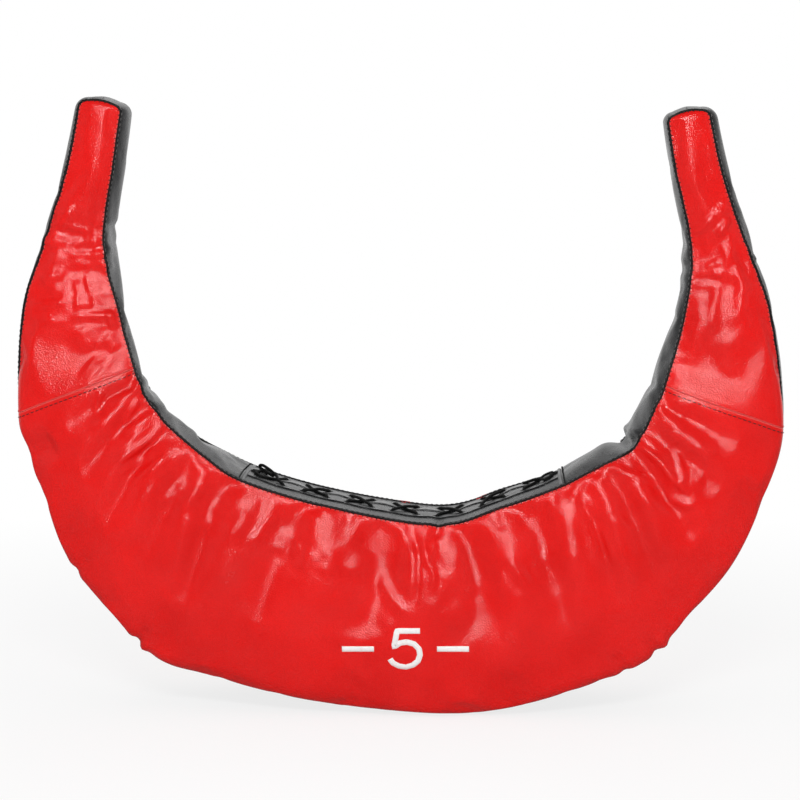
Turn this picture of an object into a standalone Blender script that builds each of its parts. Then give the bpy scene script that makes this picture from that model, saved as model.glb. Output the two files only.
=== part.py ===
"""Bulgarian bag: a stuffed crescent of leather panels and gussets, with a laced filling slit.

It stands on its curved outer edge with its horns up. X runs across, Y from front to back and Z up, and
the origin is the middle of the patch that it rests on.
"""

import math

import bmesh
import bpy
import numpy
from mathutils import Matrix, Vector

# Overall size, in metres
bag_width = 0.500
bag_height = 0.400
middle_seam_depth = 0.084

# How far the stuffed leather stands out between its seams, and under what height it settles on the floor
panel_crown = 0.013
gusset_crown = 0.0055
gather_height = 0.0025
settled_height = 0.0017
tip_crown = 0.0045
tip_round = 0.0035

# The panels' outer edge, at the bag's middle: it rolls round, and its seam is set back behind the roll
roll_radius = 0.013
seam_setback = 0.008
roll_turn_degrees = 60

# Leather, seams and the gap between touching pieces
leather = 0.0015
clearance = 0.0003
filling_clearance = 0.0005
seam_gap = 0.0003
binding_half_width = 0.0012
binding_proud = 0.0007

# Lacing
slit_width = 0.012
hole_row_from_middle = 0.017
hole_diameter = 0.0038
last_hole_from_end = 0.00805
cross_width = 0.0176
lace_diameter = 0.0026
lace_standoff = 0.00045
lace_turn_length = 0.0024
lace_tail_length = 0.010
hole_entry_share = 0.6
slack_rise = 0.004
tongue_drop = 0.0050
tongue_end_gap = 0.001
cross_count = 7

# Filling
pouch_share = 0.55
pocket_overrun_share = 0.2
pocket_end_inset = 0.002
knuckle_share = 1.2
cut_overrun = 0.06

# Mesh counts: steps from one station to the next, across a panel and across a gusset. The bag's middle
# is station 0, and the filling's pivot lies on a row between two stations.
steps = 2
lacing_station_count = 2
horn_station_count = 7
pivot_half_station_count = 17
around = 4
knuckle_segments = 40
hole_segments = 8
sharp_edge_degrees = 40

# Stations from the middle of the bag to a horn's tip. Each gives the inner seam's x and z, the outer
# seam's x and z, the depth between the front and back seams, the panels' crown, their gathers and how
# far their outer edge rolls, as shares of half the width, the height, the middle seam depth, the panel
# crown, the gather height and the whole roll.
station_shares = [
    (0.000, 0.321, 0.000, 0.008, 1.00, 1.00, 0.70, 1.00),
    (0.257, 0.345, 0.324, 0.027, 0.99, 1.00, 1.00, 1.00),
    (0.395, 0.372, 0.493, 0.058, 0.97, 0.98, 0.80, 1.00),
    (0.488, 0.407, 0.623, 0.098, 0.93, 0.95, 1.00, 1.00),
    (0.578, 0.447, 0.752, 0.168, 0.88, 0.90, 1.00, 1.00),
    (0.637, 0.489, 0.855, 0.252, 0.82, 0.82, 0.90, 1.00),
    (0.668, 0.524, 0.926, 0.358, 0.75, 0.74, 0.70, 1.00),
    (0.686, 0.556, 0.978, 0.469, 0.68, 0.66, 0.40, 0.80),
    (0.732, 0.649, 0.958, 0.650, 0.54, 0.50, 0.20, 0.30),
    (0.757, 0.759, 0.898, 0.767, 0.44, 0.42, 0.00, 0.00),
    (0.723, 0.887, 0.839, 0.887, 0.40, 0.40, 0.00, 0.00),
    (0.698, 0.978, 0.800, 0.984, 0.38, 0.12, 0.00, 0.00),
]

# A panel's columns from the inner seam to the start of the outer roll: how far across they lie and how
# much of the crown they have. The gathers' height at every column.
rolled_way_shares = (0.00, 0.13, 0.35, 0.65, 1.00)
rolled_crown_shares = (0.00, 0.50, 0.90, 1.00, 0.85)
gather_column_shares = (0.00, 0.80, 1.00, 0.50, 0.00, 0.00, 0.00)

across = len(gather_column_shares) - 1
rows = steps * (len(station_shares) - 1)
lacing_row = steps * lacing_station_count
horn_row = steps * horn_station_count
pivot_row = steps * pivot_half_station_count // 2
ring_size = 2 * across + 2 * around
half_around = around // 2
skin_depth = leather + filling_clearance
tongue_depth = tongue_drop + leather + filling_clearance
steadying_share = 0.001

COLOURS = {
    "red_leather": ((0.74, 0.012, 0.010), 0.38),
    "black_leather": ((0.016, 0.016, 0.018), 0.42),
    "black_binding": ((0.010, 0.010, 0.011), 0.55),
    "lace_cord": ((0.012, 0.012, 0.013), 0.70),
    "wadding": ((0.62, 0.60, 0.56), 0.95),
    "pouch_cloth": ((0.36, 0.34, 0.30), 0.90),
    "packed_cloth": ((0.50, 0.47, 0.42), 0.90),
}


def clear_scene():
    for item in list(bpy.data.objects):
        bpy.data.objects.remove(item, do_unlink=True)


def material(name):
    found = bpy.data.materials.get(name)
    if found:
        return found
    colour, roughness = COLOURS[name]
    made = bpy.data.materials.new(name)
    made.use_nodes = True
    shader = made.node_tree.nodes["Principled BSDF"]
    shader.inputs["Base Color"].default_value = (*colour, 1.0)
    shader.inputs["Roughness"].default_value = roughness
    shader.inputs["Metallic"].default_value = 0.0
    return made


def unit(vector):
    return vector / numpy.linalg.norm(vector)


def blend(first, second, share):
    return first + (second - first) * share


def hump(share):
    """0 at both ends of a span and 1 in its middle."""
    return 4.0 * share * (1.0 - share)


def key_stations():
    """The stations from the left tip to the right one, as arrays of real sizes."""
    half_width = bag_width / 2
    half_depth = middle_seam_depth / 2
    outline = [half_width, bag_height, half_width, bag_height]
    scale = numpy.array([*outline, half_depth, panel_crown, gather_height, 1.0])
    mirror = numpy.array([-1.0, 1.0, -1.0, 1.0, 1.0, 1.0, 1.0, 1.0])
    right = [numpy.array(shares) * scale for shares in station_shares]
    left = [station * mirror for station in reversed(right[1:])]
    return left + right


def smooth_station(keys, place):
    """The station at a place between two keys, on a smooth curve through them all."""
    first = min(int(place), len(keys) - 2)
    share = place - first
    before = keys[max(first - 1, 0)]
    start = keys[first]
    end = keys[first + 1]
    after = keys[min(first + 2, len(keys) - 1)]
    leave = (end - before) / 2
    arrive = (after - start) / 2
    rise = end - start
    bend = 3 * rise - 2 * leave - arrive
    curl = leave + arrive - 2 * rise
    return start + leave * share + bend * share**2 + curl * share**3


class Station:
    """One cross section: its two seam points, its half depths, crown, gathers and directions."""

    def __init__(self, values):
        self.inner = numpy.array([values[0], 0.0, values[1]])
        self.outer = numpy.array([values[2], 0.0, values[3]])
        self.half_depth = values[4]
        self.crown = values[5]
        self.gather = values[6]
        self.roll = values[7]
        depth_share = self.half_depth / (middle_seam_depth / 2)
        self.roll_radius = roll_radius * depth_share
        self.rolled_half_depth = self.half_depth - seam_setback * depth_share
        self.outer_half_depth = blend(self.half_depth, self.rolled_half_depth, self.roll)
        self.width = numpy.linalg.norm(self.outer - self.inner)
        self.out = unit(self.outer - self.inner)
        self.middle = blend(self.inner, self.outer, 0.5)


def make_stations():
    keys = key_stations()
    return {row: Station(smooth_station(keys, (row + rows) / steps)) for row in range(-rows, rows + 1)}


STATIONS = make_stations()


def end_direction(side):
    """The way out of a horn's tip, in the plane of the crescent."""
    last = STATIONS[side * rows].middle
    before = STATIONS[side * (rows - 1)].middle
    return unit(last - before)


END_OUT = {side: end_direction(side) for side in (-1, 1)}


def rolled_place(station, column):
    """How far across and how deep a panel's column lies where the panel's outer edge rolls round."""
    if column == across:
        return numpy.array([station.width, station.rolled_half_depth])
    radius = station.roll_radius
    turn = math.radians(roll_turn_degrees) if column == across - 1 else 0.0
    start = min(column, across - 2)
    way = (station.width - radius) * rolled_way_shares[start] + radius * math.sin(turn)
    depth = station.half_depth + station.crown * rolled_crown_shares[start] - radius * (1 - math.cos(turn))
    return numpy.array([way, depth])


def panel_point(row, column, face):
    """A point of the front panel (face -1) or the back one (face 1)."""
    station = STATIONS[row]
    share = column / across
    at_tip = abs(row) == rows
    crown = 0.0 if at_tip else station.crown * hump(share)
    plain_place = numpy.array([station.width * share, station.half_depth + crown])
    way, depth = blend(plain_place, rolled_place(station, column), station.roll)
    point = station.inner + station.out * way
    if at_tip:
        point = point + END_OUT[row // rows] * tip_round * hump(share)
    wave = math.cos(2 * math.pi * row / steps)
    point[1] = face * (depth + station.gather * gather_column_shares[column] * wave)
    return point


def gusset_point(row, column, side):
    """A point of the inner gusset (side -1) or the outer one (side 1)."""
    station = STATIONS[row]
    span = 2 * column / around - 1
    start = station.inner if side < 0 else station.outer
    way = station.out * side
    if abs(row) == rows:
        way = unit(way + END_OUT[row // rows])
    point = start + way * gusset_crown * (1 - span**2)
    point[1] = span * (station.half_depth if side < 0 else station.outer_half_depth)
    if point[2] < settled_height:
        point[2] = 0.0
    return point


def tip_point(side, across_column, around_column):
    """A point of the gusset where it crosses the end of a horn."""
    span = 2 * around_column / around - 1
    share = across_column / across
    rise = tip_crown * (1 - span**2) * (1 + hump(share)) / 2
    point = panel_point(side * rows, across_column, -1) + END_OUT[side] * rise
    point[1] = span * STATIONS[side * rows].half_depth
    return point


def panel_key(row, column, face):
    if face < 0:
        return (row, column)
    return (row, across + around + across - column)


def gusset_key(row, column, side):
    if side > 0:
        return (row, across + column)
    return (row, (ring_size - column) % ring_size)


def tip_key(side, across_column, around_column):
    row = side * rows
    if across_column == 0:
        return gusset_key(row, around_column, -1)
    if across_column == across:
        return gusset_key(row, around_column, 1)
    if around_column == 0:
        return panel_key(row, across_column, -1)
    if around_column == around:
        return panel_key(row, across_column, 1)
    return (row, across_column, around_column)


def outer_points():
    """Every point of the bag's outer surface, by its key."""
    points = {}
    for row in range(-rows, rows + 1):
        for column in range(across + 1):
            points[panel_key(row, column, -1)] = panel_point(row, column, -1)
            points[panel_key(row, column, 1)] = panel_point(row, column, 1)
        for column in range(1, around):
            points[gusset_key(row, column, -1)] = gusset_point(row, column, -1)
            points[gusset_key(row, column, 1)] = gusset_point(row, column, 1)
    for side in (-1, 1):
        for across_column in range(1, across):
            for around_column in range(1, around):
                key = tip_key(side, across_column, around_column)
                points[key] = tip_point(side, across_column, around_column)
    return points


def outer_faces():
    faces = []
    for row in range(-rows, rows):
        for column in range(ring_size):
            after = (column + 1) % ring_size
            faces.append([(row, column), (row, after), (row + 1, after), (row + 1, column)])
    for side in (-1, 1):
        for column in range(across):
            for turn in range(around):
                corners = [(column, turn), (column + 1, turn), (column + 1, turn + 1), (column, turn + 1)]
                faces.append([tip_key(side, *corner) for corner in corners])
    return faces


def inward_offsets(points, faces):
    """For each point, the move that puts it one unit under all the faces that meet there."""
    mesh = bmesh.new()
    verts = {key: mesh.verts.new(point) for key, point in points.items()}
    for face in faces:
        mesh.faces.new([verts[key] for key in face])
    bmesh.ops.recalc_face_normals(mesh, faces=mesh.faces)
    mesh.normal_update()
    offsets = {}
    steady = numpy.identity(3) * steadying_share
    for key, vert in verts.items():
        normals = numpy.array([face.normal for face in vert.link_faces])
        pull = normals.T @ numpy.ones(len(normals))
        offsets[key] = -numpy.linalg.solve(normals.T @ normals + steady, pull)
    mesh.free()
    return offsets


class Spot:
    """A point of the outer surface, by its key, with the move inward from it."""

    def __init__(self, key, place, inward):
        self.key = key
        self.place = place
        self.inward = inward

    def at(self, depth):
        return self.place + self.inward * depth


def between(first, second, share):
    place = blend(first.place, second.place, share)
    return Spot(first.key, place, blend(first.inward, second.inward, share))


def toward(first, second, distance):
    return between(first, second, distance / numpy.linalg.norm(second.place - first.place))


def make_spots():
    points = outer_points()
    offsets = inward_offsets(points, outer_faces())
    return {key: Spot(key, points[key], offsets[key]) for key in points}


SPOTS = make_spots()


def panel_spot(row, column, face):
    return SPOTS[panel_key(row, column, face)]


def gusset_spot(row, column, side):
    return SPOTS[gusset_key(row, column, side)]


def tip_spot(side, across_column, around_column):
    return SPOTS[tip_key(side, across_column, around_column)]


def trimmed(sheet, row_trims=(0.0, 0.0), column_trims=(0.0, 0.0)):
    """The sheet with its borders drawn in by these distances."""
    rows_of = [list(row) for row in sheet]
    if row_trims[0]:
        rows_of[0] = [toward(a, b, row_trims[0]) for a, b in zip(rows_of[0], rows_of[1])]
    if row_trims[1]:
        rows_of[-1] = [toward(a, b, row_trims[1]) for a, b in zip(rows_of[-1], rows_of[-2])]
    for row in rows_of:
        first, last = row[0], row[-1]
        if column_trims[0]:
            row[0] = toward(first, row[1], column_trims[0])
        if column_trims[1]:
            row[-1] = toward(last, row[-2], column_trims[1])
    return rows_of


def finish_object(name, mesh, material_name):
    """An object of this name from a bmesh, with its faces turned outward."""
    bmesh.ops.recalc_face_normals(mesh, faces=mesh.faces)
    data = bpy.data.meshes.new(name)
    mesh.to_mesh(data)
    mesh.free()
    data.shade_smooth()
    data.set_sharp_from_angle(angle=math.radians(sharp_edge_degrees))
    made = bpy.data.objects.new(name, data)
    bpy.context.scene.collection.objects.link(made)
    data.materials.append(material(material_name))
    return made


def split_face(mesh, keys, verts):
    """Two triangles that meet on the same diagonal in every layer, whatever order the corners come in."""
    start = keys.index(min(keys))
    first, second, third, fourth = verts[start:] + verts[:start]
    mesh.faces.new([first, second, third])
    mesh.faces.new([first, third, fourth])


def sheet_object(name, sheet, outer_depth, inner_depth, material_name):
    """A sheet of leather between two depths under the outer surface."""
    mesh = bmesh.new()
    layers = []
    for depth in (outer_depth, inner_depth):
        layers.append([[mesh.verts.new(spot.at(depth)) for spot in row] for row in sheet])
    last_row = len(sheet) - 1
    last_column = len(sheet[0]) - 1
    for row in range(last_row):
        for column in range(last_column):
            corners = [(row, column), (row, column + 1), (row + 1, column + 1), (row + 1, column)]
            keys = [sheet[r][c].key for r, c in corners]
            for layer in layers:
                split_face(mesh, keys, [layer[r][c] for r, c in corners])
    border = [(0, column) for column in range(last_column)]
    border += [(row, last_column) for row in range(last_row)]
    border += [(last_row, column) for column in range(last_column, 0, -1)]
    border += [(row, 0) for row in range(last_row, 0, -1)]
    top, bottom = layers
    for (row, column), (next_row, next_column) in zip(border, border[1:] + border[:1]):
        corners = [top[row][column], top[next_row][next_column]]
        corners += [bottom[next_row][next_column], bottom[row][column]]
        mesh.faces.new(corners)
    return finish_object(name, mesh, material_name)


def loft_object(name, rings, material_name, closed_path=False):
    """A solid through rings of points, capped at both ends or joined end to end."""
    mesh = bmesh.new()
    loops = [[mesh.verts.new(point) for point in ring] for ring in rings]
    pairs = list(zip(loops, loops[1:]))
    if closed_path:
        pairs.append((loops[-1], loops[0]))
    else:
        mesh.faces.new(loops[0])
        mesh.faces.new(loops[-1])
    for near, far in pairs:
        for corner in range(len(near)):
            after = (corner + 1) % len(near)
            mesh.faces.new([near[corner], near[after], far[after]])
            mesh.faces.new([near[corner], far[after], far[corner]])
    return finish_object(name, mesh, material_name)


def use_cutter(target, cutter, operation):
    cutter.hide_render = True
    cutter.display_type = "WIRE"
    cut = target.modifiers.new(cutter.name, "BOOLEAN")
    cut.operation = operation
    cut.object = cutter
    cut.solver = "EXACT"


def seam_trim():
    return binding_half_width + seam_gap


def make_panel(name, first_row, last_row, face):
    """A red panel from one row to another. A row at a tip or along the bag ends at the binding."""
    sheet = []
    for row in range(first_row, last_row + 1):
        sheet.append([panel_spot(row, column, face) for column in range(across + 1)])
    trims = [seam_trim() if abs(row) == rows else seam_gap / 2 for row in (first_row, last_row)]
    sheet = trimmed(sheet, trims, (seam_trim(), seam_trim()))
    sheet_object(name, sheet, 0.0, leather, "red_leather")


def make_panels():
    for face, word in ((-1, "front"), (1, "back")):
        make_panel(word + "_left_horn_panel", -rows, -horn_row, face)
        make_panel(word + "_main_panel", -horn_row, horn_row, face)
        make_panel(word + "_right_horn_panel", horn_row, rows, face)


def gusset_rows(first_row, last_row, side):
    found = []
    step = 1 if last_row >= first_row else -1
    for row in range(first_row, last_row + step, step):
        found.append([gusset_spot(row, column, side) for column in range(around + 1)])
    return found


def tip_rows(side, columns):
    return [[tip_spot(side, column, turn) for turn in range(around + 1)] for column in columns]


def make_gussets():
    """The black side walls. Inner and outer ones meet across the middle of each horn's end."""
    seam = seam_gap / 2
    sides = (seam_trim(), seam_trim())
    middle = across // 2
    for side, word in ((-1, "left"), (1, "right")):
        inner = gusset_rows(side * lacing_row, side * rows, -1) + tip_rows(side, range(1, middle + 1))
        outer = gusset_rows(side * horn_row, side * rows, 1)
        outer += tip_rows(side, range(across - 1, middle - 1, -1))
        for sheet, place in ((inner, "inner"), (outer, "outer")):
            name = place + "_" + word + "_gusset"
            sheet_object(name, trimmed(sheet, (seam, seam), sides), 0.0, leather, "black_leather")
    main = trimmed(gusset_rows(-horn_row, horn_row, 1), (seam, seam), sides)
    sheet_object("outer_main_gusset", main, 0.0, leather, "black_leather")


def binding_ring(spot, panel_side, gusset_side):
    """The four corners of the binding at one place on a seam."""
    return [
        spot.at(-binding_proud),
        toward(spot, panel_side, binding_half_width).place,
        spot.at(leather),
        toward(spot, gusset_side, binding_half_width).place,
    ]


def make_binding(name, face):
    """The folded strip that runs right round a face of the bag, over the seam."""
    seam_turn = 0 if face < 0 else around
    next_turn = 1 if face < 0 else around - 1
    rings = []

    def along_seam(row_numbers, column, side):
        inside = 1 if column == 0 else across - 1
        for row in row_numbers:
            beside = row - row // rows if abs(row) == rows else row
            rings.append(
                binding_ring(
                    panel_spot(row, column, face),
                    panel_spot(beside, inside, face),
                    gusset_spot(row, next_turn, side),
                )
            )

    def over_tip(side, columns):
        for column in columns:
            rings.append(
                binding_ring(
                    tip_spot(side, column, seam_turn),
                    panel_spot(side * (rows - 1), column, face),
                    tip_spot(side, column, next_turn),
                )
            )

    along_seam(range(-rows, rows + 1), 0, -1)
    over_tip(1, range(1, across))
    along_seam(range(rows, -rows - 1, -1), across, 1)
    over_tip(-1, range(across - 1, 0, -1))
    loft_object(name, rings, "black_binding", closed_path=True)


def lacing_spot_on_row(row, from_middle):
    """The spot on one row of the inner gusset at a distance behind the middle line."""
    half_depth = STATIONS[row].half_depth
    place = (from_middle / half_depth + 1) * around / 2
    column = min(max(int(place), 0), around - 1)
    first = gusset_spot(row, column, -1)
    return between(first, gusset_spot(row, column + 1, -1), place - column)


def lacing_spot(across_place, from_middle):
    """The spot on the lacing's surface at this x and at a distance behind the middle line."""
    for row in range(-lacing_row, lacing_row):
        near = lacing_spot_on_row(row, from_middle)
        far = lacing_spot_on_row(row + 1, from_middle)
        if across_place <= far.place[0] or row == lacing_row - 1:
            share = (across_place - near.place[0]) / (far.place[0] - near.place[0])
            return between(near, far, share)
    return None


def cross_pitch():
    """From the middle of one crossing to the next, so that they fill the lacing from end to end."""
    last_crossing = STATIONS[lacing_row].inner[0] - last_hole_from_end - cross_width / 2
    return 2 * last_crossing / (cross_count - 1)


def hole_place(number):
    """The x of a punched hole. Each crossing has two, numbered from the left."""
    crossing = number // 2
    side = 2 * (number % 2) - 1
    return (crossing - (cross_count - 1) / 2) * cross_pitch() + side * cross_width / 2


def make_hole_cutter(name, face):
    mesh = bmesh.new()
    for number in range(2 * cross_count):
        spot = lacing_spot(hole_place(number), face * hole_row_from_middle)
        turn = Vector(spot.inward).to_track_quat("Z", "Y").to_matrix().to_4x4()
        place = Matrix.Translation(Vector(spot.at(leather / 2)))
        bmesh.ops.create_cone(
            mesh,
            cap_ends=True,
            segments=hole_segments,
            radius1=hole_diameter / 2,
            radius2=hole_diameter / 2,
            depth=4 * leather,
            matrix=place @ turn,
        )
    return finish_object(name, mesh, "black_leather")


def make_lips():
    """The two edges of the filling slit, with a row of punched holes in each."""
    for face, word in ((-1, "front"), (1, "back")):
        sheet = []
        for row in range(-lacing_row, lacing_row + 1):
            seam_column = 0 if face < 0 else around
            next_column = seam_column - face
            edge = lacing_spot_on_row(row, face * slit_width / 2)
            sheet.append([gusset_spot(row, seam_column, -1), gusset_spot(row, next_column, -1), edge])
        sheet = trimmed(sheet, (seam_gap / 2, seam_gap / 2), (seam_trim(), 0.0))
        lip = sheet_object(word + "_lacing_lip", sheet, 0.0, leather, "black_leather")
        use_cutter(lip, make_hole_cutter(word + "_hole_cutter", face), "DIFFERENCE")


def make_tongue():
    """The flap under the slit, which keeps the filling in behind the lace."""
    sheet = []
    for row in range(-lacing_row, lacing_row + 1):
        sheet.append([gusset_spot(row, column, -1) for column in range(1, around)])
    sheet = trimmed(sheet, (tongue_end_gap, tongue_end_gap), (tongue_end_gap, tongue_end_gap))
    sheet_object("lacing_tongue", sheet, tongue_drop, tongue_drop + leather, "black_leather")


def over_height():
    return lace_diameter / 2 + lace_standoff


def under_depth():
    return leather + lace_standoff + lace_diameter / 2


def lace_point(across_place, from_middle, height):
    return lacing_spot(across_place, from_middle).at(-height)


def through_hole(number, face, over_way, under_way):
    """The lace's points from over a hole to under it. The ways are x and y directions beside it."""
    across_place = hole_place(number)
    from_middle = face * hole_row_from_middle
    over = [across_place + over_way[0] * lace_turn_length, from_middle + over_way[1] * lace_turn_length]
    under = [across_place + under_way[0] * lace_turn_length, from_middle + under_way[1] * lace_turn_length]
    return [
        lace_point(*over, over_height()),
        lace_point(across_place, from_middle, over_height() * hole_entry_share),
        lace_point(across_place, from_middle, -(under_depth() + leather) / 2),
        lace_point(*under, -under_depth()),
    ]


def crossing(number, first_hole, second_hole, face, is_upper, first_under, second_under):
    """One strand from under its first hole, over the slit and down under its second."""
    start = numpy.array([hole_place(first_hole), face * hole_row_from_middle])
    end = numpy.array([hole_place(second_hole), -face * hole_row_from_middle])
    way = unit(end - start)
    rise = over_height() + (lace_diameter + lace_standoff if is_upper else 0.0)
    if is_upper and number == 0:
        rise += slack_rise
    points = list(reversed(through_hole(first_hole, face, way, first_under)))
    points.append(lace_point(*blend(start, end, 0.5), rise))
    points += through_hole(second_hole, -face, -way, second_under)
    return points


def lace_route():
    """Left to right as the lower strand, under the lips at the end, and back as the upper one."""
    points = [lace_point(hole_place(0), lace_tail_length - hole_row_from_middle, -under_depth())]
    face = -1
    last = 2 * cross_count - 1
    for number in range(cross_count):
        from_before = (0, 1) if number == 0 else (-1, 0)
        to_next = (0, -1) if number == cross_count - 1 else (1, 0)
        points += crossing(number, 2 * number, 2 * number + 1, face, False, from_before, to_next)
        face = -face
    points.append(lace_point(hole_place(last), 0.0, -under_depth()))
    face = -face
    for number in reversed(range(cross_count)):
        from_before = (0, 1) if number == cross_count - 1 else (1, 0)
        to_next = (0, -1) if number == 0 else (-1, 0)
        points += crossing(number, 2 * number + 1, 2 * number, face, True, from_before, to_next)
        face = -face
    points.append(lace_point(hole_place(0), hole_row_from_middle - lace_tail_length, -under_depth()))
    return points


def make_lace():
    curve = bpy.data.curves.new("lace", "CURVE")
    curve.dimensions = "3D"
    curve.bevel_depth = lace_diameter / 2
    curve.bevel_resolution = 1
    curve.use_fill_caps = True
    spline = curve.splines.new("POLY")
    route = lace_route()
    spline.points.add(len(route) - 1)
    for point, place in zip(spline.points, route):
        point.co = (*place, 1.0)
    lace = bpy.data.objects.new("lace", curve)
    bpy.context.scene.collection.objects.link(lace)
    curve.materials.append(material("lace_cord"))


def filling_point(row, column):
    """A point of the filling's surface, under the skin or under the tongue."""
    lacing_columns = {gusset_key(row, turn, -1)[1] for turn in range(1, around)}
    under_tongue = abs(row) <= lacing_row and column in lacing_columns
    return SPOTS[(row, column)].at(tongue_depth if under_tongue else skin_depth)


def half_columns(face):
    """The section's columns in front of the middle plane (face -1) or behind it, from edge to edge."""
    inner_middle = ring_size - half_around
    outer_middle = across + half_around
    if face < 0:
        return list(range(inner_middle, ring_size)) + list(range(outer_middle + 1))
    return list(range(outer_middle, inner_middle + 1))


def half_filling(name, face):
    """Half of the body's filling, from one neck pivot to the other, flat on the middle plane."""
    columns = half_columns(face)
    mesh = bmesh.new()
    loops = {}
    for row in range(-pivot_row, pivot_row + 1):
        points = [filling_point(row, column) for column in columns]
        for edge in (points[0], points[-1]):
            edge[1] = face * clearance / 2
        loops[row] = [mesh.verts.new(point) for point in points]
    for row in range(-pivot_row, pivot_row):
        near, far = loops[row], loops[row + 1]
        for place in range(len(columns) - 1):
            first, second = columns[place], columns[place + 1]
            keys = [(row, first), (row, second), (row + 1, second), (row + 1, first)]
            split_face(mesh, keys, [near[place], near[place + 1], far[place + 1], far[place]])
    along = list(range(-pivot_row, pivot_row + 1))
    flat_face = [loops[row][0] for row in along] + [loops[row][-1] for row in reversed(along)]
    mesh.faces.new(flat_face)
    mesh.faces.new(loops[-pivot_row])
    mesh.faces.new(loops[pivot_row])
    return finish_object(name, mesh, "wadding")


def pocket_ring(row, inset):
    """The pouches' section, this far inside the pocket that holds them."""
    centre = STATIONS[row].middle
    ring = []
    for column in range(ring_size):
        reach = (SPOTS[(row, column)].at(skin_depth) - centre) * pouch_share
        ring.append(centre + reach - unit(reach) * inset)
    return ring


def pocket_cutter_ring(row, face):
    """The pocket's section in one half of the filling, carried on a little past the middle plane."""
    ring = pocket_ring(row, 0.0)
    half = [ring[column] for column in half_columns(face)]
    reach = 1 + pocket_overrun_share
    return [blend(half[1], half[0], reach), *half[1:-1], blend(half[-2], half[-1], reach)]


def drawn_in(rings, first_distance, last_distance):
    """The rings with the first and last ones moved toward their neighbours."""
    moved = list(rings)
    for end, inside, distance in ((0, 1, first_distance), (-1, -2, last_distance)):
        share = distance / numpy.linalg.norm(rings[inside][0] - rings[end][0])
        moved[end] = [blend(a, b, share) for a, b in zip(rings[end], rings[inside])]
    return moved


def knuckle_radius(side):
    station = STATIONS[side * pivot_row]
    return knuckle_share * numpy.linalg.norm(station.outer - station.inner) / 2


def plane_prism(name, outline):
    """A prism along Y with this outline of x and z points."""
    rings = [[(x, y, z) for x, z in outline] for y in (-cut_overrun, cut_overrun)]
    return loft_object(name, rings, "wadding")


def pivot_frame(side):
    """The pivot's place and the directions along and across the neck there."""
    station = STATIONS[side * pivot_row]
    return station.middle, numpy.cross(station.out, (0.0, side, 0.0)), station.out


def arc_outline(side, radius, start, end, count):
    centre, along, out = pivot_frame(side)
    points = []
    for number in range(count + 1):
        angle = blend(start, end, number / count)
        place = centre + out * radius * math.cos(angle) + along * radius * math.sin(angle)
        points.append((place[0], place[2]))
    return points


def seat_cutter(name, side):
    outline = arc_outline(side, knuckle_radius(side) + clearance, 0.0, 2 * math.pi, knuckle_segments)
    return plane_prism(name, outline[:-1])


def knuckle_cutter(name, side):
    """Everything of the horn that moves: its round knuckle and all that lies above the pivot."""
    radius = knuckle_radius(side)
    outline = arc_outline(side, radius, math.pi, 2 * math.pi, knuckle_segments // 2)
    centre, along, out = pivot_frame(side)
    for way in (1, -1):
        place = centre + out * way * radius + along * bag_height
        outline.append((place[0], place[2]))
    return plane_prism(name, outline)


def make_wadding():
    pocket_rows = range(-horn_row, horn_row + 1, steps)
    for face, word in ((-1, "front"), (1, "back")):
        half = half_filling(word + "_wadding", face)
        pocket = [pocket_cutter_ring(row, face) for row in pocket_rows]
        pocket = drawn_in(pocket, pocket_end_inset, pocket_end_inset)
        use_cutter(half, loft_object(word + "_pocket_cutter", pocket, "wadding"), "DIFFERENCE")
        for side, place in ((-1, "left"), (1, "right")):
            use_cutter(half, seat_cutter(word + "_" + place + "_seat_cutter", side), "DIFFERENCE")


def make_pouches():
    bounds = [-horn_row, -lacing_row, lacing_row, horn_row]
    for name, first, last in zip(("left", "centre", "right"), bounds, bounds[1:]):
        rings = [pocket_ring(row, filling_clearance) for row in range(first, last + 1, steps)]
        at_pocket_end = [pocket_end_inset if abs(row) == horn_row else 0.0 for row in (first, last)]
        rings = drawn_in(rings, *(inset + filling_clearance for inset in at_pocket_end))
        loft_object(name + "_sand_pouch", rings, "pouch_cloth")


def make_handle_core(side, word):
    """The packed filling of a horn, with the round knuckle that it bends on."""
    first_row = horn_row + 1
    mesh = bmesh.new()
    verts = {}

    def vert(key):
        if key not in verts:
            verts[key] = mesh.verts.new(SPOTS[key].at(skin_depth))
        return verts[key]

    for row in range(first_row, rows):
        for column in range(ring_size):
            after = (column + 1) % ring_size
            near, far = side * row, side * (row + 1)
            keys = [(near, column), (near, after), (far, after), (far, column)]
            split_face(mesh, keys, [vert(key) for key in keys])
    for column in range(across):
        for turn in range(around):
            corners = [(column, turn), (column + 1, turn), (column + 1, turn + 1), (column, turn + 1)]
            keys = [tip_key(side, *corner) for corner in corners]
            split_face(mesh, keys, [vert(key) for key in keys])
    mesh.faces.new([vert((side * first_row, column)) for column in range(ring_size)])
    core = finish_object(word + "_handle_core", mesh, "packed_cloth")
    use_cutter(core, knuckle_cutter(word + "_knuckle_cutter", side), "INTERSECT")


def make_bag():
    clear_scene()
    make_panels()
    make_gussets()
    make_binding("front_edge_binding", -1)
    make_binding("back_edge_binding", 1)
    make_lips()
    make_tongue()
    make_lace()
    make_wadding()
    make_pouches()
    make_handle_core(-1, "left")
    make_handle_core(1, "right")
    for side, word in ((-1, "left"), (1, "right")):
        pivot = STATIONS[side * pivot_row].middle
        print(word, "neck pivot x and z:", round(pivot[0], 5), round(pivot[2], 5))


make_bag()
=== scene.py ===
"""Bulgarian bag: the looks of the stuffed crescent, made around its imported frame.

Lengths are metres. X runs across the bag, Y from its front to its back and Z up. Pixel places are those
of the 800 x 800 photograph.
"""

import itertools
import math

import bmesh
import bpy
import numpy as np
from mathutils import Matrix, Vector
from mathutils.bvhtree import BVHTree


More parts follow.
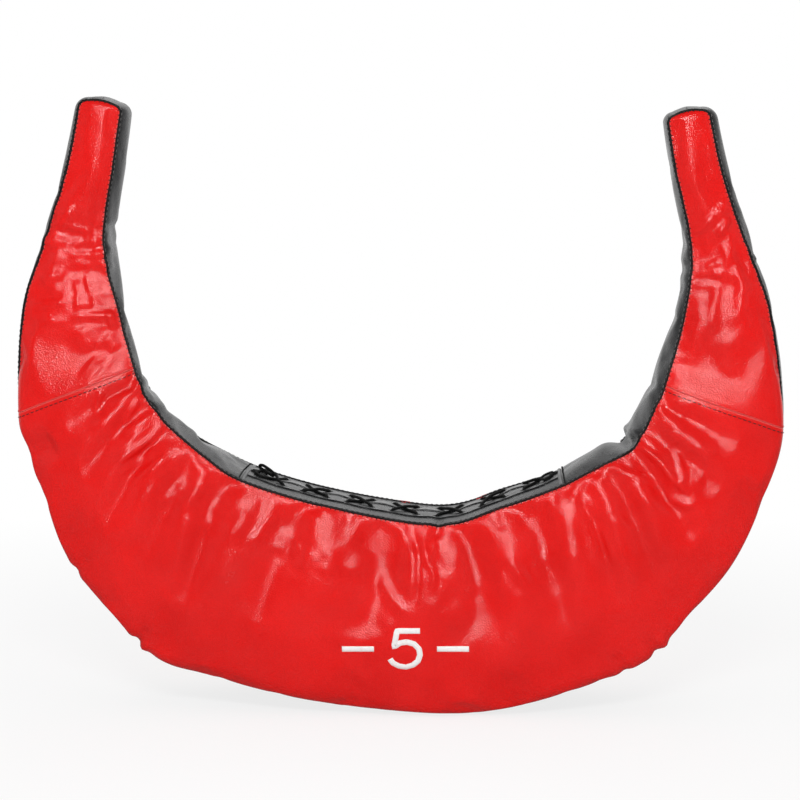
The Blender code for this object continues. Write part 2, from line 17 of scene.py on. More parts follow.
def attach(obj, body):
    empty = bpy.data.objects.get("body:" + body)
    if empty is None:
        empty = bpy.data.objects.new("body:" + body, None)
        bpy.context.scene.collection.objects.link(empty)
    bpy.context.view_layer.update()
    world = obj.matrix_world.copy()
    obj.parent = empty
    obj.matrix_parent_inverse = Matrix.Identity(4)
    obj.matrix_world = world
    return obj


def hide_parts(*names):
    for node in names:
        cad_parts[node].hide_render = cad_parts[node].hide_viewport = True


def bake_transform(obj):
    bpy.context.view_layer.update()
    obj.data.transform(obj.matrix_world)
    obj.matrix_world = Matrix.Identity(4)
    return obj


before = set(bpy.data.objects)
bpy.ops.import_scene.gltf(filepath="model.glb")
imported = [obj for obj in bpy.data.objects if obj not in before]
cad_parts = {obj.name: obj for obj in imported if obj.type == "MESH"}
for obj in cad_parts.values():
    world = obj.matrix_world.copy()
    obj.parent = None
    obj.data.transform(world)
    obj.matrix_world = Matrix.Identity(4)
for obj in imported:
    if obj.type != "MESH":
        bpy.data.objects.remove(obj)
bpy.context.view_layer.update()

# The photograph's view: it looks at this point from this far, a little from above and from the right
image_size = 800
lens = 105.0
sensor = 36.0
nearest_seen = 0.01
view_target = np.array([0.003, -0.030, 0.205])
view_distance = 1.5
view_elevation = math.radians(7.5)
view_turn = math.radians(2.5)

# The bag, stuffed. Stations run from its middle (0) to a horn's tip (11)
millimetre = 0.001
middle_seam_depth = 0.084
panel_crown = 0.0105
panel_fullness_power = 2.4
tip_crown = 0.0022
tip_round = 0.0016
tip_corner_radius = 0.0048
roll_radius = 0.0120
roll_turn = math.radians(115.0)
roll_start_share = 0.80
roll_rise_share = 0.6
roll_fall_shares = (0.5, 1.0)
roll_fullness = 0.85
gather_height = 0.0025
gather_across_shares = (0.0, 0.18, 0.34, 0.74)
back_set_back = 0.0036
left_set_back = 0.0098
right_set_back = 0.0010
back_roll = 0.0080
pinch_roll = 0.0070
roll_middle_share = 0.045
roll_width_share = 0.030
lacing_station = 2
horn_station = 7
tip_station = 11

# Stations between which something fades out, or rises and then fades out
roll_stations = (6.9, 8.4)
set_back_stations = (7.6, 9.0)
left_set_back_stations = (2.0, 4.0, 7.2, 8.8)
right_set_back_stations = (3.8, 5.0, 7.6, 9.0)
back_roll_stations = (-0.9, -0.3, 1.0, 1.8)
pinch_roll_stations = (3.0, 3.5, 3.7, 4.2)

# Seam places in the photograph's view: inner x, inner z, outer x, outer z
middle_outline = (0.0270, 0.1262, 0.0320, 0.0015)
left_outline = [
    (-0.0450, 0.1378, -0.0560, 0.0090),
    (-0.0980, 0.1535, -0.1220, 0.0250),
    (-0.1225, 0.1690, -0.1560, 0.0365),
    (-0.1430, 0.1860, -0.1880, 0.0690),
    (-0.1565, 0.2005, -0.2130, 0.1010),
    (-0.1640, 0.2142, -0.2298, 0.1440),
    (-0.1684, 0.2245, -0.2448, 0.1950),
    (-0.1787, 0.2605, -0.2418, 0.2600),
    (-0.1888, 0.3040, -0.2275, 0.3060),
    (-0.1820, 0.3548, -0.2122, 0.3548),
    (-0.1762, 0.3920, -0.2035, 0.3968),
]
right_outline = [
    (0.0700, 0.1382, 0.0880, 0.0096),
    (0.1068, 0.1517, 0.1362, 0.0254),
    (0.1295, 0.1634, 0.1656, 0.0400),
    (0.1480, 0.1725, 0.1900, 0.0680),
    (0.1585, 0.1855, 0.2166, 0.1000),
    (0.1660, 0.2010, 0.2350, 0.1405),
    (0.1722, 0.2150, 0.2484, 0.1880),
    (0.1842, 0.2590, 0.2402, 0.2590),
    (0.1885, 0.3010, 0.2250, 0.3010),
    (0.1775, 0.3540, 0.2070, 0.3540),
    (0.1722, 0.3855, 0.1990, 0.3907),
]
depth_shares = [1.0, 0.99, 0.97, 0.93, 0.88, 0.82, 0.75, 0.68, 0.54, 0.44, 0.40, 0.38]
crown_shares = [1.0, 1.0, 0.98, 0.95, 0.90, 0.82, 0.74, 0.66, 0.50, 0.42, 0.40, 0.30]
gather_shares = [0.7, 1.0, 0.8, 1.0, 1.0, 0.9, 0.7, 0.4, 0.2, 0.0, 0.0, 0.0]

# The gussets' crowns at each station, in millimetres
left_outer_crowns = [4.5, 4.5, 4.5, 4.5, 4.5, 4.5, 4.0, 2.2, 1.5, 3.1, 4.5, 3.6]
right_outer_crowns = [4.5, 4.5, 4.5, 4.5, 4.5, 4.5, 4.0, 2.6, 1.8, 4.4, 5.8, 5.2]
left_inner_crowns = [1.2, 1.2, 1.8, 2.4, 2.6, 2.6, 2.6, 2.4, 2.6, 3.4, 4.5, 3.6]
right_inner_crowns = [1.2, 1.6, 3.6, 4.8, 5.2, 5.4, 5.6, 5.4, 4.8, 3.6, 1.8, 1.4]

# The skin's mesh: how many columns of cells each panel and gusset has
cell = 0.0034
panel_columns = 40
gusset_columns = 16
corner_rows = 6
fine_places = 400
end_reach = 0.4


def unit(vector):
    return vector / np.linalg.norm(vector)


def mix(first, second, share):
    return first + (second - first) * share


def smooth(low, high, value):
    """0 below low and 1 above high, rising smoothly between them."""
    share = np.clip((value - low) / (high - low), 0.0, 1.0)
    return share * share * (3 - 2 * share)


def hump(share):
    return 4.0 * share * (1.0 - share)


def units(vectors):
    return vectors / np.maximum(np.linalg.norm(vectors, axis=1, keepdims=True), 1e-12)


def between(limits, value):
    """1 between the two middle ones of four limits, falling smoothly to 0 at the outer two."""
    start, full, end, gone = limits
    return smooth(start, full, value) * (1.0 - smooth(end, gone, value))


def distances_along(points):
    """How far along a line of points each of them lies."""
    steps = np.linalg.norm(np.diff(points, axis=0), axis=1)
    return np.concatenate([[0.0], np.cumsum(steps)])


def at_distance(distance, along, table):
    """A table's rows, or one row, at a distance, from its rows at the distances along."""
    return np.stack([np.interp(distance, along, column) for column in table.T], axis=-1)


def grid_faces(rows, columns, closed=False, start=0):
    """The faces of a grid of points, row after row. Where it is closed, its last column joins its first."""
    faces = []
    for row in range(rows - 1):
        for column in range(columns if closed else columns - 1):
            after = (column + 1) % columns
            near = start + row * columns
            far = near + columns
            faces.append((near + column, near + after, far + after, far + column))
    return faces


def tube_faces(rings, corners, start=0):
    """The faces of a tube, with one over each of its ends."""
    first = range(start, start + corners)
    last = range(start + (rings - 1) * corners, start + rings * corners)
    return [*grid_faces(rings, corners, True, start), tuple(reversed(first)), tuple(last)]


def new_mesh(name, points, faces):
    mesh = bpy.data.meshes.new(name)
    mesh.from_pydata(np.asarray(points).tolist(), [], faces)
    return mesh


def linked(name, data):
    """A new object in the scene that shows this data."""
    made = bpy.data.objects.new(name, data)
    bpy.context.scene.collection.objects.link(made)
    return made


# Camera

class View:
    """The camera's place and directions, for placing things by a pixel of the photograph."""

    def __init__(self):
        level = math.cos(view_elevation)
        up = math.sin(view_elevation)
        self.back = np.array([math.sin(view_turn) * level, -math.cos(view_turn) * level, up])
        self.place = view_target + self.back * view_distance
        self.right = unit(np.cross(-self.back, (0.0, 0.0, 1.0)))
        self.up = np.cross(self.right, -self.back)
        self.pixels = lens / sensor * image_size

    def project(self, points):
        """The photograph's pixel for each point."""
        offset = np.asarray(points) - self.place
        depth = -offset @ self.back
        across = image_size / 2 + self.pixels * (offset @ self.right) / depth
        down = image_size / 2 - self.pixels * (offset @ self.up) / depth
        return np.stack([across, down], axis=-1)


VIEW = View()


def make_camera():
    data = bpy.data.cameras.new("photo_camera")
    data.lens = lens
    data.sensor_width = sensor
    data.clip_start = nearest_seen
    camera = linked("photo_camera", data)
    turn = Matrix([VIEW.right, VIEW.up, VIEW.back]).transposed().to_4x4()
    camera.matrix_world = Matrix.Translation(Vector(VIEW.place)) @ turn
    bpy.context.scene.camera = camera


make_camera()


# Sections through the bag

def key_sections():
    """Inner x and z, outer x and z, half depth and crown of each station, from left tip to right tip."""
    half = middle_seam_depth / 2

    def keys(outlines, first):
        made = []
        for station, outline in enumerate(outlines, first):
            made.append([*outline, depth_shares[station] * half, crown_shares[station] * panel_crown])
        return made

    return np.array(keys(left_outline, 1)[::-1] + keys([middle_outline, *right_outline], 0))


KEYS = key_sections()


def section_values(place):
    """The section at a place from -11 (left tip) to 11 (right tip), on a smooth curve through the keys."""
    place = place + tip_station
    first = min(int(place), len(KEYS) - 2)
    share = place - first
    numbers = np.clip(np.arange(first - 1, first + 3), 0, len(KEYS) - 1)
    before, start, end, after = KEYS[numbers]
    leave = (end - before) / 2
    arrive = (after - start) / 2
    rise = end - start
    bend = 3 * rise - 2 * leave - arrive
    curl = leave + arrive - 2 * rise
    return start + leave * share + bend * share**2 + curl * share**3


class Section:
    """One row of the skin: the seams' places and directions there."""

    def __init__(self, place, tip_distance, end_way):
        values = section_values(place)
        self.place = place
        self.station = abs(place)
        inner = np.array([values[0], 0.0, values[1]])
        outer = np.array([values[2], 0.0, values[3]])
        self.out = unit(outer - inner)
        self.half_depth = values[4]
        self.roll = 1.0 - smooth(*roll_stations, self.station)
        self.gather = gather_height * self.from_table(gather_shares) * math.cos(2 * math.pi * place)
        level = max(0.0, 1 - tip_distance / tip_corner_radius)
        inset = tip_corner_radius * (1 - math.sqrt(1 - level * level))
        turn = math.asin(level)
        self.corner = math.sin(turn)
        self.end_way = end_way
        self.at_tip = tip_distance < 1e-6
        self.inner_way = -self.out * math.cos(turn) + end_way * math.sin(turn)
        self.outer_way = self.out * math.cos(turn) + end_way * math.sin(turn)
        self.inner = inner + self.out * inset
        self.outer = outer - self.out * inset
        self.width = np.linalg.norm(self.outer - self.inner)
        self.crown = values[5] * (0.0 if self.at_tip else math.cos(turn) ** 0.5)

    def from_table(self, table):
        """The value here of a table that has one for each station."""
        return np.interp(self.station, range(tip_station + 1), table)

    def profile(self, share):
        """How far from the inner seam and from the middle plane a panel lies. Where the section rolls, the
        panel's outer edge turns round and its seam lies out of sight behind it."""
        fullness = 1.0 - abs(2 * share - 1) ** panel_fullness_power
        plain = np.array([self.width * share, self.half_depth + self.crown * fullness])
        radius = roll_radius * self.half_depth / (middle_seam_depth / 2)
        if share < roll_start_share:
            level = share / roll_start_share
            rise = max(0.0, 1.0 - level / roll_rise_share) ** panel_fullness_power
            fullness = 1.0 - rise - (1 - roll_fullness) * smooth(*roll_fall_shares, level)
            rolled = np.array([(self.width - radius) * level, self.half_depth + self.crown * fullness])
        else:
            angle = roll_turn * (share - roll_start_share) / (1 - roll_start_share)
            depth = self.half_depth + self.crown * roll_fullness - radius * (1 - math.cos(angle))
            rolled = np.array([self.width - radius * (1 - math.sin(angle)), depth])
        made = mix(plain, rolled, self.roll)
        made[1] += self.gather * between(gather_across_shares, share)
        return made

    def back_shift(self, share):
        """How far a point of the back is moved. Its inner seam lies deeper than the front's, but for a part
        near the middle where the back's leather rolls over the seam."""
        set_back = back_set_back * (1.0 - smooth(*set_back_stations, self.station))
        if self.place < 0:
            set_back = mix(set_back, left_set_back, between(left_set_back_stations, self.station))
        else:
            set_back = mix(set_back, right_set_back, between(right_set_back_stations, self.station))
        roll = back_roll * between(back_roll_stations, self.place)
        roll += pinch_roll * between(pinch_roll_stations, self.place)
        roll *= math.exp(-(((share - roll_middle_share) / roll_width_share) ** 2))
        return self.out * set_back * (1 - share) ** 2 + np.array([0.0, 0.0, roll])


def middle_of(place):
    values = section_values(place)
    return np.array([(values[0] + values[2]) / 2, 0.0, (values[1] + values[3]) / 2])


def even_places(first, last, tip_at_end, tip_at_start):
    """Places between two stations, a cell apart along the bag, and closer where a tip's corner turns."""
    fine = np.linspace(first, last, fine_places)
    along = distances_along([middle_of(place) for place in fine])
    length = along[-1]
    start = tip_corner_radius if tip_at_start else 0.0
    end = length - (tip_corner_radius if tip_at_end else 0.0)
    wanted = list(np.linspace(start, end, round((end - start) / cell) + 1))
    turns = [math.sin(math.radians(90.0 * k / corner_rows)) for k in range(1, corner_rows + 1)]
    if tip_at_end:
        wanted += [end + tip_corner_radius * turn for turn in turns]
    if tip_at_start:
        wanted = [start - tip_corner_radius * turn for turn in reversed(turns)] + wanted
    places = np.interp(wanted, along, fine)
    from_tip = np.full(len(wanted), 1.0)
    if tip_at_end:
        from_tip = length - np.array(wanted)
    if tip_at_start:
        from_tip = np.array(wanted)
    return list(zip(places, np.abs(from_tip)))


def make_sections():
    """The sections from tip to tip, and the rows at which the lacing and the horns begin and end."""
    bounds = [-tip_station, -horn_station, -lacing_station, lacing_station, horn_station, tip_station]
    found = []
    marks = []
    for first, last in zip(bounds, bounds[1:]):
        part = even_places(first, last, last == tip_station, first == -tip_station)
        found += part[1:] if found else part
        marks.append(len(found) - 1)
    left_end = unit(middle_of(-tip_station) - middle_of(-tip_station + end_reach))
    right_end = unit(middle_of(tip_station) - middle_of(tip_station - end_reach))
    sections = [Section(place, away, left_end if place < 0 else right_end) for place, away in found]
    return sections, marks[:-1]


def ring_columns():
    """The size of the ring round the bag, and the columns of its seams: front outer, back outer and back
    inner. The front inner seam is column 0."""
    half = panel_columns + gusset_columns
    return 2 * half, panel_columns, half, half + panel_columns


SECTIONS, MARKS = make_sections()
row_count = len(SECTIONS)
last_row = row_count - 1
left_horn_row, left_lacing_row, right_lacing_row, right_horn_row = MARKS
ring_size, front_outer, back_outer, back_inner = ring_columns()


# The skin before it is stuffed: rows of points round the bag

def panel_start(section, share, face):
    """A point of the front panel (face -1) or the back one (face 1)."""
    across, depth = section.profile(share)
    point = section.inner + section.out * across
    if section.at_tip:
        point = point + section.end_way * tip_round * hump(share)
    point[1] = face * depth
    if face > 0:
        point = point + section.back_shift(share)
    return point


def gusset_start(section, turn, is_outer):
    """A point of a gusset, from its front seam (turn 0) to its back one (turn 1)."""
    span = 2 * turn - 1
    across, depth = section.profile(1.0 if is_outer else 0.0)
    way = section.outer_way if is_outer else section.inner_way
    outer_crowns, inner_crowns = left_outer_crowns, left_inner_crowns
    if section.place >= 0:
        outer_crowns, inner_crowns = right_outer_crowns, right_inner_crowns
    crown = millimetre * section.from_table(outer_crowns if is_outer else inner_crowns)
    crown = mix(crown, tip_crown, section.corner)
    point = section.inner + section.out * across + way * crown * (1 - abs(span) ** 3)
    point[1] = span * depth
    if not is_outer:
        point = point + section.back_shift(0.0) * smooth(0.0, 1.0, turn)
    return point


def cap_start(section, share, turn):
    """A point of the gusset where it crosses the end of a horn."""
    span = 2 * turn - 1
    point = mix(section.inner, section.outer, share)
    point = point + section.end_way * (tip_round * hump(share) + tip_crown * (1 - span**2))
    point[1] = span * section.half_depth
    return point


def start_rows():
    rows = np.zeros((row_count, ring_size, 3))
    for number, section in enumerate(SECTIONS):
        for column in range(panel_columns + 1):
            share = column / panel_columns
            rows[number, column] = panel_start(section, share, -1)
            rows[number, (back_inner - column) % ring_size] = panel_start(section, share, 1)
        for column in range(1, gusset_columns):
            turn = column / gusset_columns
            rows[number, front_outer + column] = gusset_start(section, turn, True)
            rows[number, (ring_size - column) % ring_size] = gusset_start(section, turn, False)
    return rows


def cap_places():
    """Every place on a horn's end, by its column and its turn from front to back."""
    return itertools.product(range(panel_columns + 1), range(gusset_columns + 1))


def start_caps():
    caps = {}
    for row in (0, last_row):
        caps[row] = np.zeros((panel_columns + 1, gusset_columns + 1, 3))
        for column, turn in cap_places():
            share = column / panel_columns
            caps[row][column, turn] = cap_start(SECTIONS[row], share, turn / gusset_columns)
    return caps


def cap_column(column, turn):
    """The ring's column at a place on a cap's border, or None inside it."""
    if column == 0:
        return (ring_size - turn) % ring_size
    if column == panel_columns:
        return front_outer + turn
    if turn == 0:
        return column
    if turn == gusset_columns:
        return back_inner - column
    return None


class Skin:
    """The bag's whole surface as one closed grid, which the separate pieces are then taken from."""

    def __init__(self, rows, caps):
        self.rows = rows
        self.caps = caps
        self.cap_index = {}
        index = row_count * ring_size
        for row in (0, last_row):
            for column, turn in cap_places():
                if cap_column(column, turn) is None:
                    self.cap_index[(row, column, turn)] = index
                    index += 1

    def cap_vertex(self, row, column, turn):
        ring_column = cap_column(column, turn)
        if ring_column is None:
            return self.cap_index[(row, column, turn)]
        return row * ring_size + ring_column

    def points(self):
        inside = [self.caps[row][column, turn] for row, column, turn in self.cap_index]
        return np.concatenate([self.rows.reshape(-1, 3), np.array(inside)])

    def faces(self):
        found = grid_faces(row_count, ring_size, closed=True)
        for row in (0, last_row):
            for column, turn in itertools.product(range(panel_columns), range(gusset_columns)):
                corners = [(column, turn), (column + 1, turn), (column + 1, turn + 1), (column, turn + 1)]
                if row == 0:
                    corners.reverse()
                found.append(tuple(self.cap_vertex(row, *corner) for corner in corners))
        return found

    def take(self, points):
        """Moves the skin to these points, in the order of points()."""
        count = row_count * ring_size
        self.rows = points[:count].reshape(row_count, ring_size, 3).copy()
        for row in (0, last_row):
            for column, turn in cap_places():
                self.caps[row][column, turn] = points[self.cap_vertex(row, column, turn)]

    def normals(self):
        """The outward direction at each point."""
        mesh = new_mesh("skin_normals", self.points(), self.faces())
        found = np.zeros(len(mesh.vertices) * 3)
        mesh.vertices.foreach_get("normal", found)
        bpy.data.meshes.remove(mesh)
        return found.reshape(-1, 3)


SKIN = Skin(start_rows(), start_caps())


# Stuffing: the skin is blown up as cloth held at its seams

stuffing_frames = 20
stuffing_easing = 1
greatest_move = 0.014
cloth_settings = {
    "quality": 6, "mass": 0.3, "air_damping": 1.0,
    "tension_stiffness": 40.0, "compression_stiffness": 40.0, "shear_stiffness": 20.0,
    "bending_stiffness": 8.0, "use_pressure": True, "uniform_pressure_force": 4.0,
    "vertex_group_mass": "pins", "vertex_group_shrink": "snug",
    "shrink_min": -0.045, "shrink_max": -0.002,
}

# Spare leather, as shares of the most: shrink_min
inner_spare_share = 0.90
outer_spare_share = 0.07
neck_spare_share = 0.14
inner_gusset_spare_share = 0.06
outer_neck_spare_share = 0.20
least_spare_share = 0.02
spare_fall_shares = (0.15, 0.58)
body_stations = (6.5, 7.6)
neck_stations = (6.6, 7.6, 8.8, 9.8)


def spare_share(section, column):
    """How much spare leather a place has, from 0 to 1. It gathers along the inner seam and at the necks."""
    body = 1.0 - smooth(*body_stations, section.station)
    neck = between(neck_stations, section.station)
    if column > back_inner:
        return inner_gusset_spare_share * body + neck_spare_share * neck
    if front_outer < column < back_outer:
        return outer_spare_share * body + outer_neck_spare_share * neck
    share = column / panel_columns if column <= front_outer else (back_inner - column) / panel_columns
    spare = mix(inner_spare_share, outer_spare_share, smooth(*spare_fall_shares, share))
    return spare * body + neck_spare_share * neck + least_spare_share


def pinned_vertices():
    """The vertices that the seams hold: the seams themselves, the lacing and the horns' ends."""
    pins = set()
    for row in range(row_count):
        columns = [0, front_outer, back_outer, back_inner]
        if left_lacing_row <= row <= right_lacing_row:
            columns += range(back_inner, ring_size)
        if row in (0, last_row):
            columns = range(ring_size)
        pins.update(row * ring_size + column for column in columns)
    return sorted(pins)


def snug_weights():
    """1 where the leather has the least to spare and 0 where it has the most."""
    weights = []
    for section in SECTIONS:
        weights += [1.0 - spare_share(section, column) for column in range(ring_size)]
    return weights + [1.0] * len(SKIN.cap_index)


def stuffed_points():
    """The skin's points after the cloth has settled round its filling."""
    before = SKIN.points()
    skin = linked("stuffing", new_mesh("stuffing", before, SKIN.faces()))
    skin.vertex_groups.new(name="pins").add(pinned_vertices(), 1.0, "REPLACE")
    snug = skin.vertex_groups.new(name="snug")
    for index, weight in enumerate(snug_weights()):
        snug.add([index], weight, "REPLACE")
    cloth = skin.modifiers.new("Cloth", "CLOTH")
    for name, value in cloth_settings.items():
        setattr(cloth.settings, name, value)
    cloth.settings.effector_weights.gravity = 0.0
    cloth.collision_settings.use_collision = False
    cloth.point_cache.frame_start = 1
    cloth.point_cache.frame_end = stuffing_frames
    for number in range(1, stuffing_frames + 1):
        bpy.context.scene.frame_set(number)
    settled = skin.evaluated_get(bpy.context.evaluated_depsgraph_get()).data
    after = np.zeros(len(settled.vertices) * 3)
    settled.vertices.foreach_get("co", after)
    bpy.data.objects.remove(skin)
    bpy.context.scene.frame_set(1)
    move = after.reshape(-1, 3) - before
    reach = np.linalg.norm(move, axis=1, keepdims=True)
    return before + move * np.minimum(1.0, greatest_move / np.maximum(reach, 1e-9))


def eased(points, rounds):
    """The points with the cells' own roughness taken out, but for the seams."""
    neighbours = [set() for _ in points]
    for face in SKIN.faces():
        for first, second in zip(face, face[1:] + face[:1]):
            neighbours[first].add(second)
            neighbours[second].add(first)
    held = np.zeros((len(points), 1), bool)
    held[pinned_vertices()] = True
    width = max(len(found) for found in neighbours)
    table = [sorted(found) + [index] * (width - len(found)) for index, found in enumerate(neighbours)]
    counts = np.array([[len(found)] for found in neighbours])
    for _ in range(rounds):
        mean = (points[np.array(table)].sum(axis=1) - points * (width - counts)) / counts
        points = np.where(held, points, mix(points, mean, 0.5))
    return points


def on_the_floor(points):
    """The bag rests on the floor, which flattens what would be under it."""
    return np.maximum(points, (-np.inf, -np.inf, 0.0))


SKIN.take(eased(stuffed_points(), stuffing_easing))


# The skin at twice the fineness, so that it can hold small folds

def finer(grid):
    """The grid with a row more between each two of its rows, on smooth curves through them."""
    before = np.concatenate([[2 * grid[0] - grid[1]], grid[:-2]])
    after = np.concatenate([grid[2:], [2 * grid[-1] - grid[-2]]])
    made = np.zeros((2 * len(grid) - 1, *grid.shape[1:]))
    made[::2] = grid
    made[1::2] = (9 * (grid[:-1] + grid[1:]) - before - after) / 16
    return made


def finer_across(grid):
    return finer(grid.swapaxes(0, 1)).swapaxes(0, 1)


def finer_rows(rows):
    """Rows round the bag, made finer between the seams, so that these stay sharp."""
    closed = np.concatenate([rows, rows[:, :1]], axis=1)
    corners = [0, front_outer, back_outer, back_inner, ring_size]
    parts = [finer_across(closed[:, first : last + 1])[:, :-1] for first, last in zip(corners, corners[1:])]
    return finer(np.concatenate(parts, axis=1))


fine_rows = finer_rows(SKIN.rows)
fine_caps = {2 * row: finer(finer_across(cap)) for row, cap in SKIN.caps.items()}
panel_columns *= 2
gusset_columns *= 2
ring_size, front_outer, back_outer, back_inner = ring_columns()
row_count = len(fine_rows)
last_row = row_count - 1
left_horn_row, left_lacing_row, right_lacing_row, right_horn_row = (2 * mark for mark in MARKS)
SKIN = Skin(fine_rows, fine_caps)


# Folds, each along a line of the photograph's pixels: the line, how far it stands up (or in, if negative)
# and half its width

low = 0.0005
middling = 0.0009
high = 0.0014
lowered = 0.00196
raised = 0.00224
deep = 0.00336
sharp = 0.0020
firm = 0.0033
soft = 0.0055
broad = 0.0085
fold_limit = -0.45
fold_fade = 0.30
fold_trough_share = 0.22
fold_end_share = 0.28

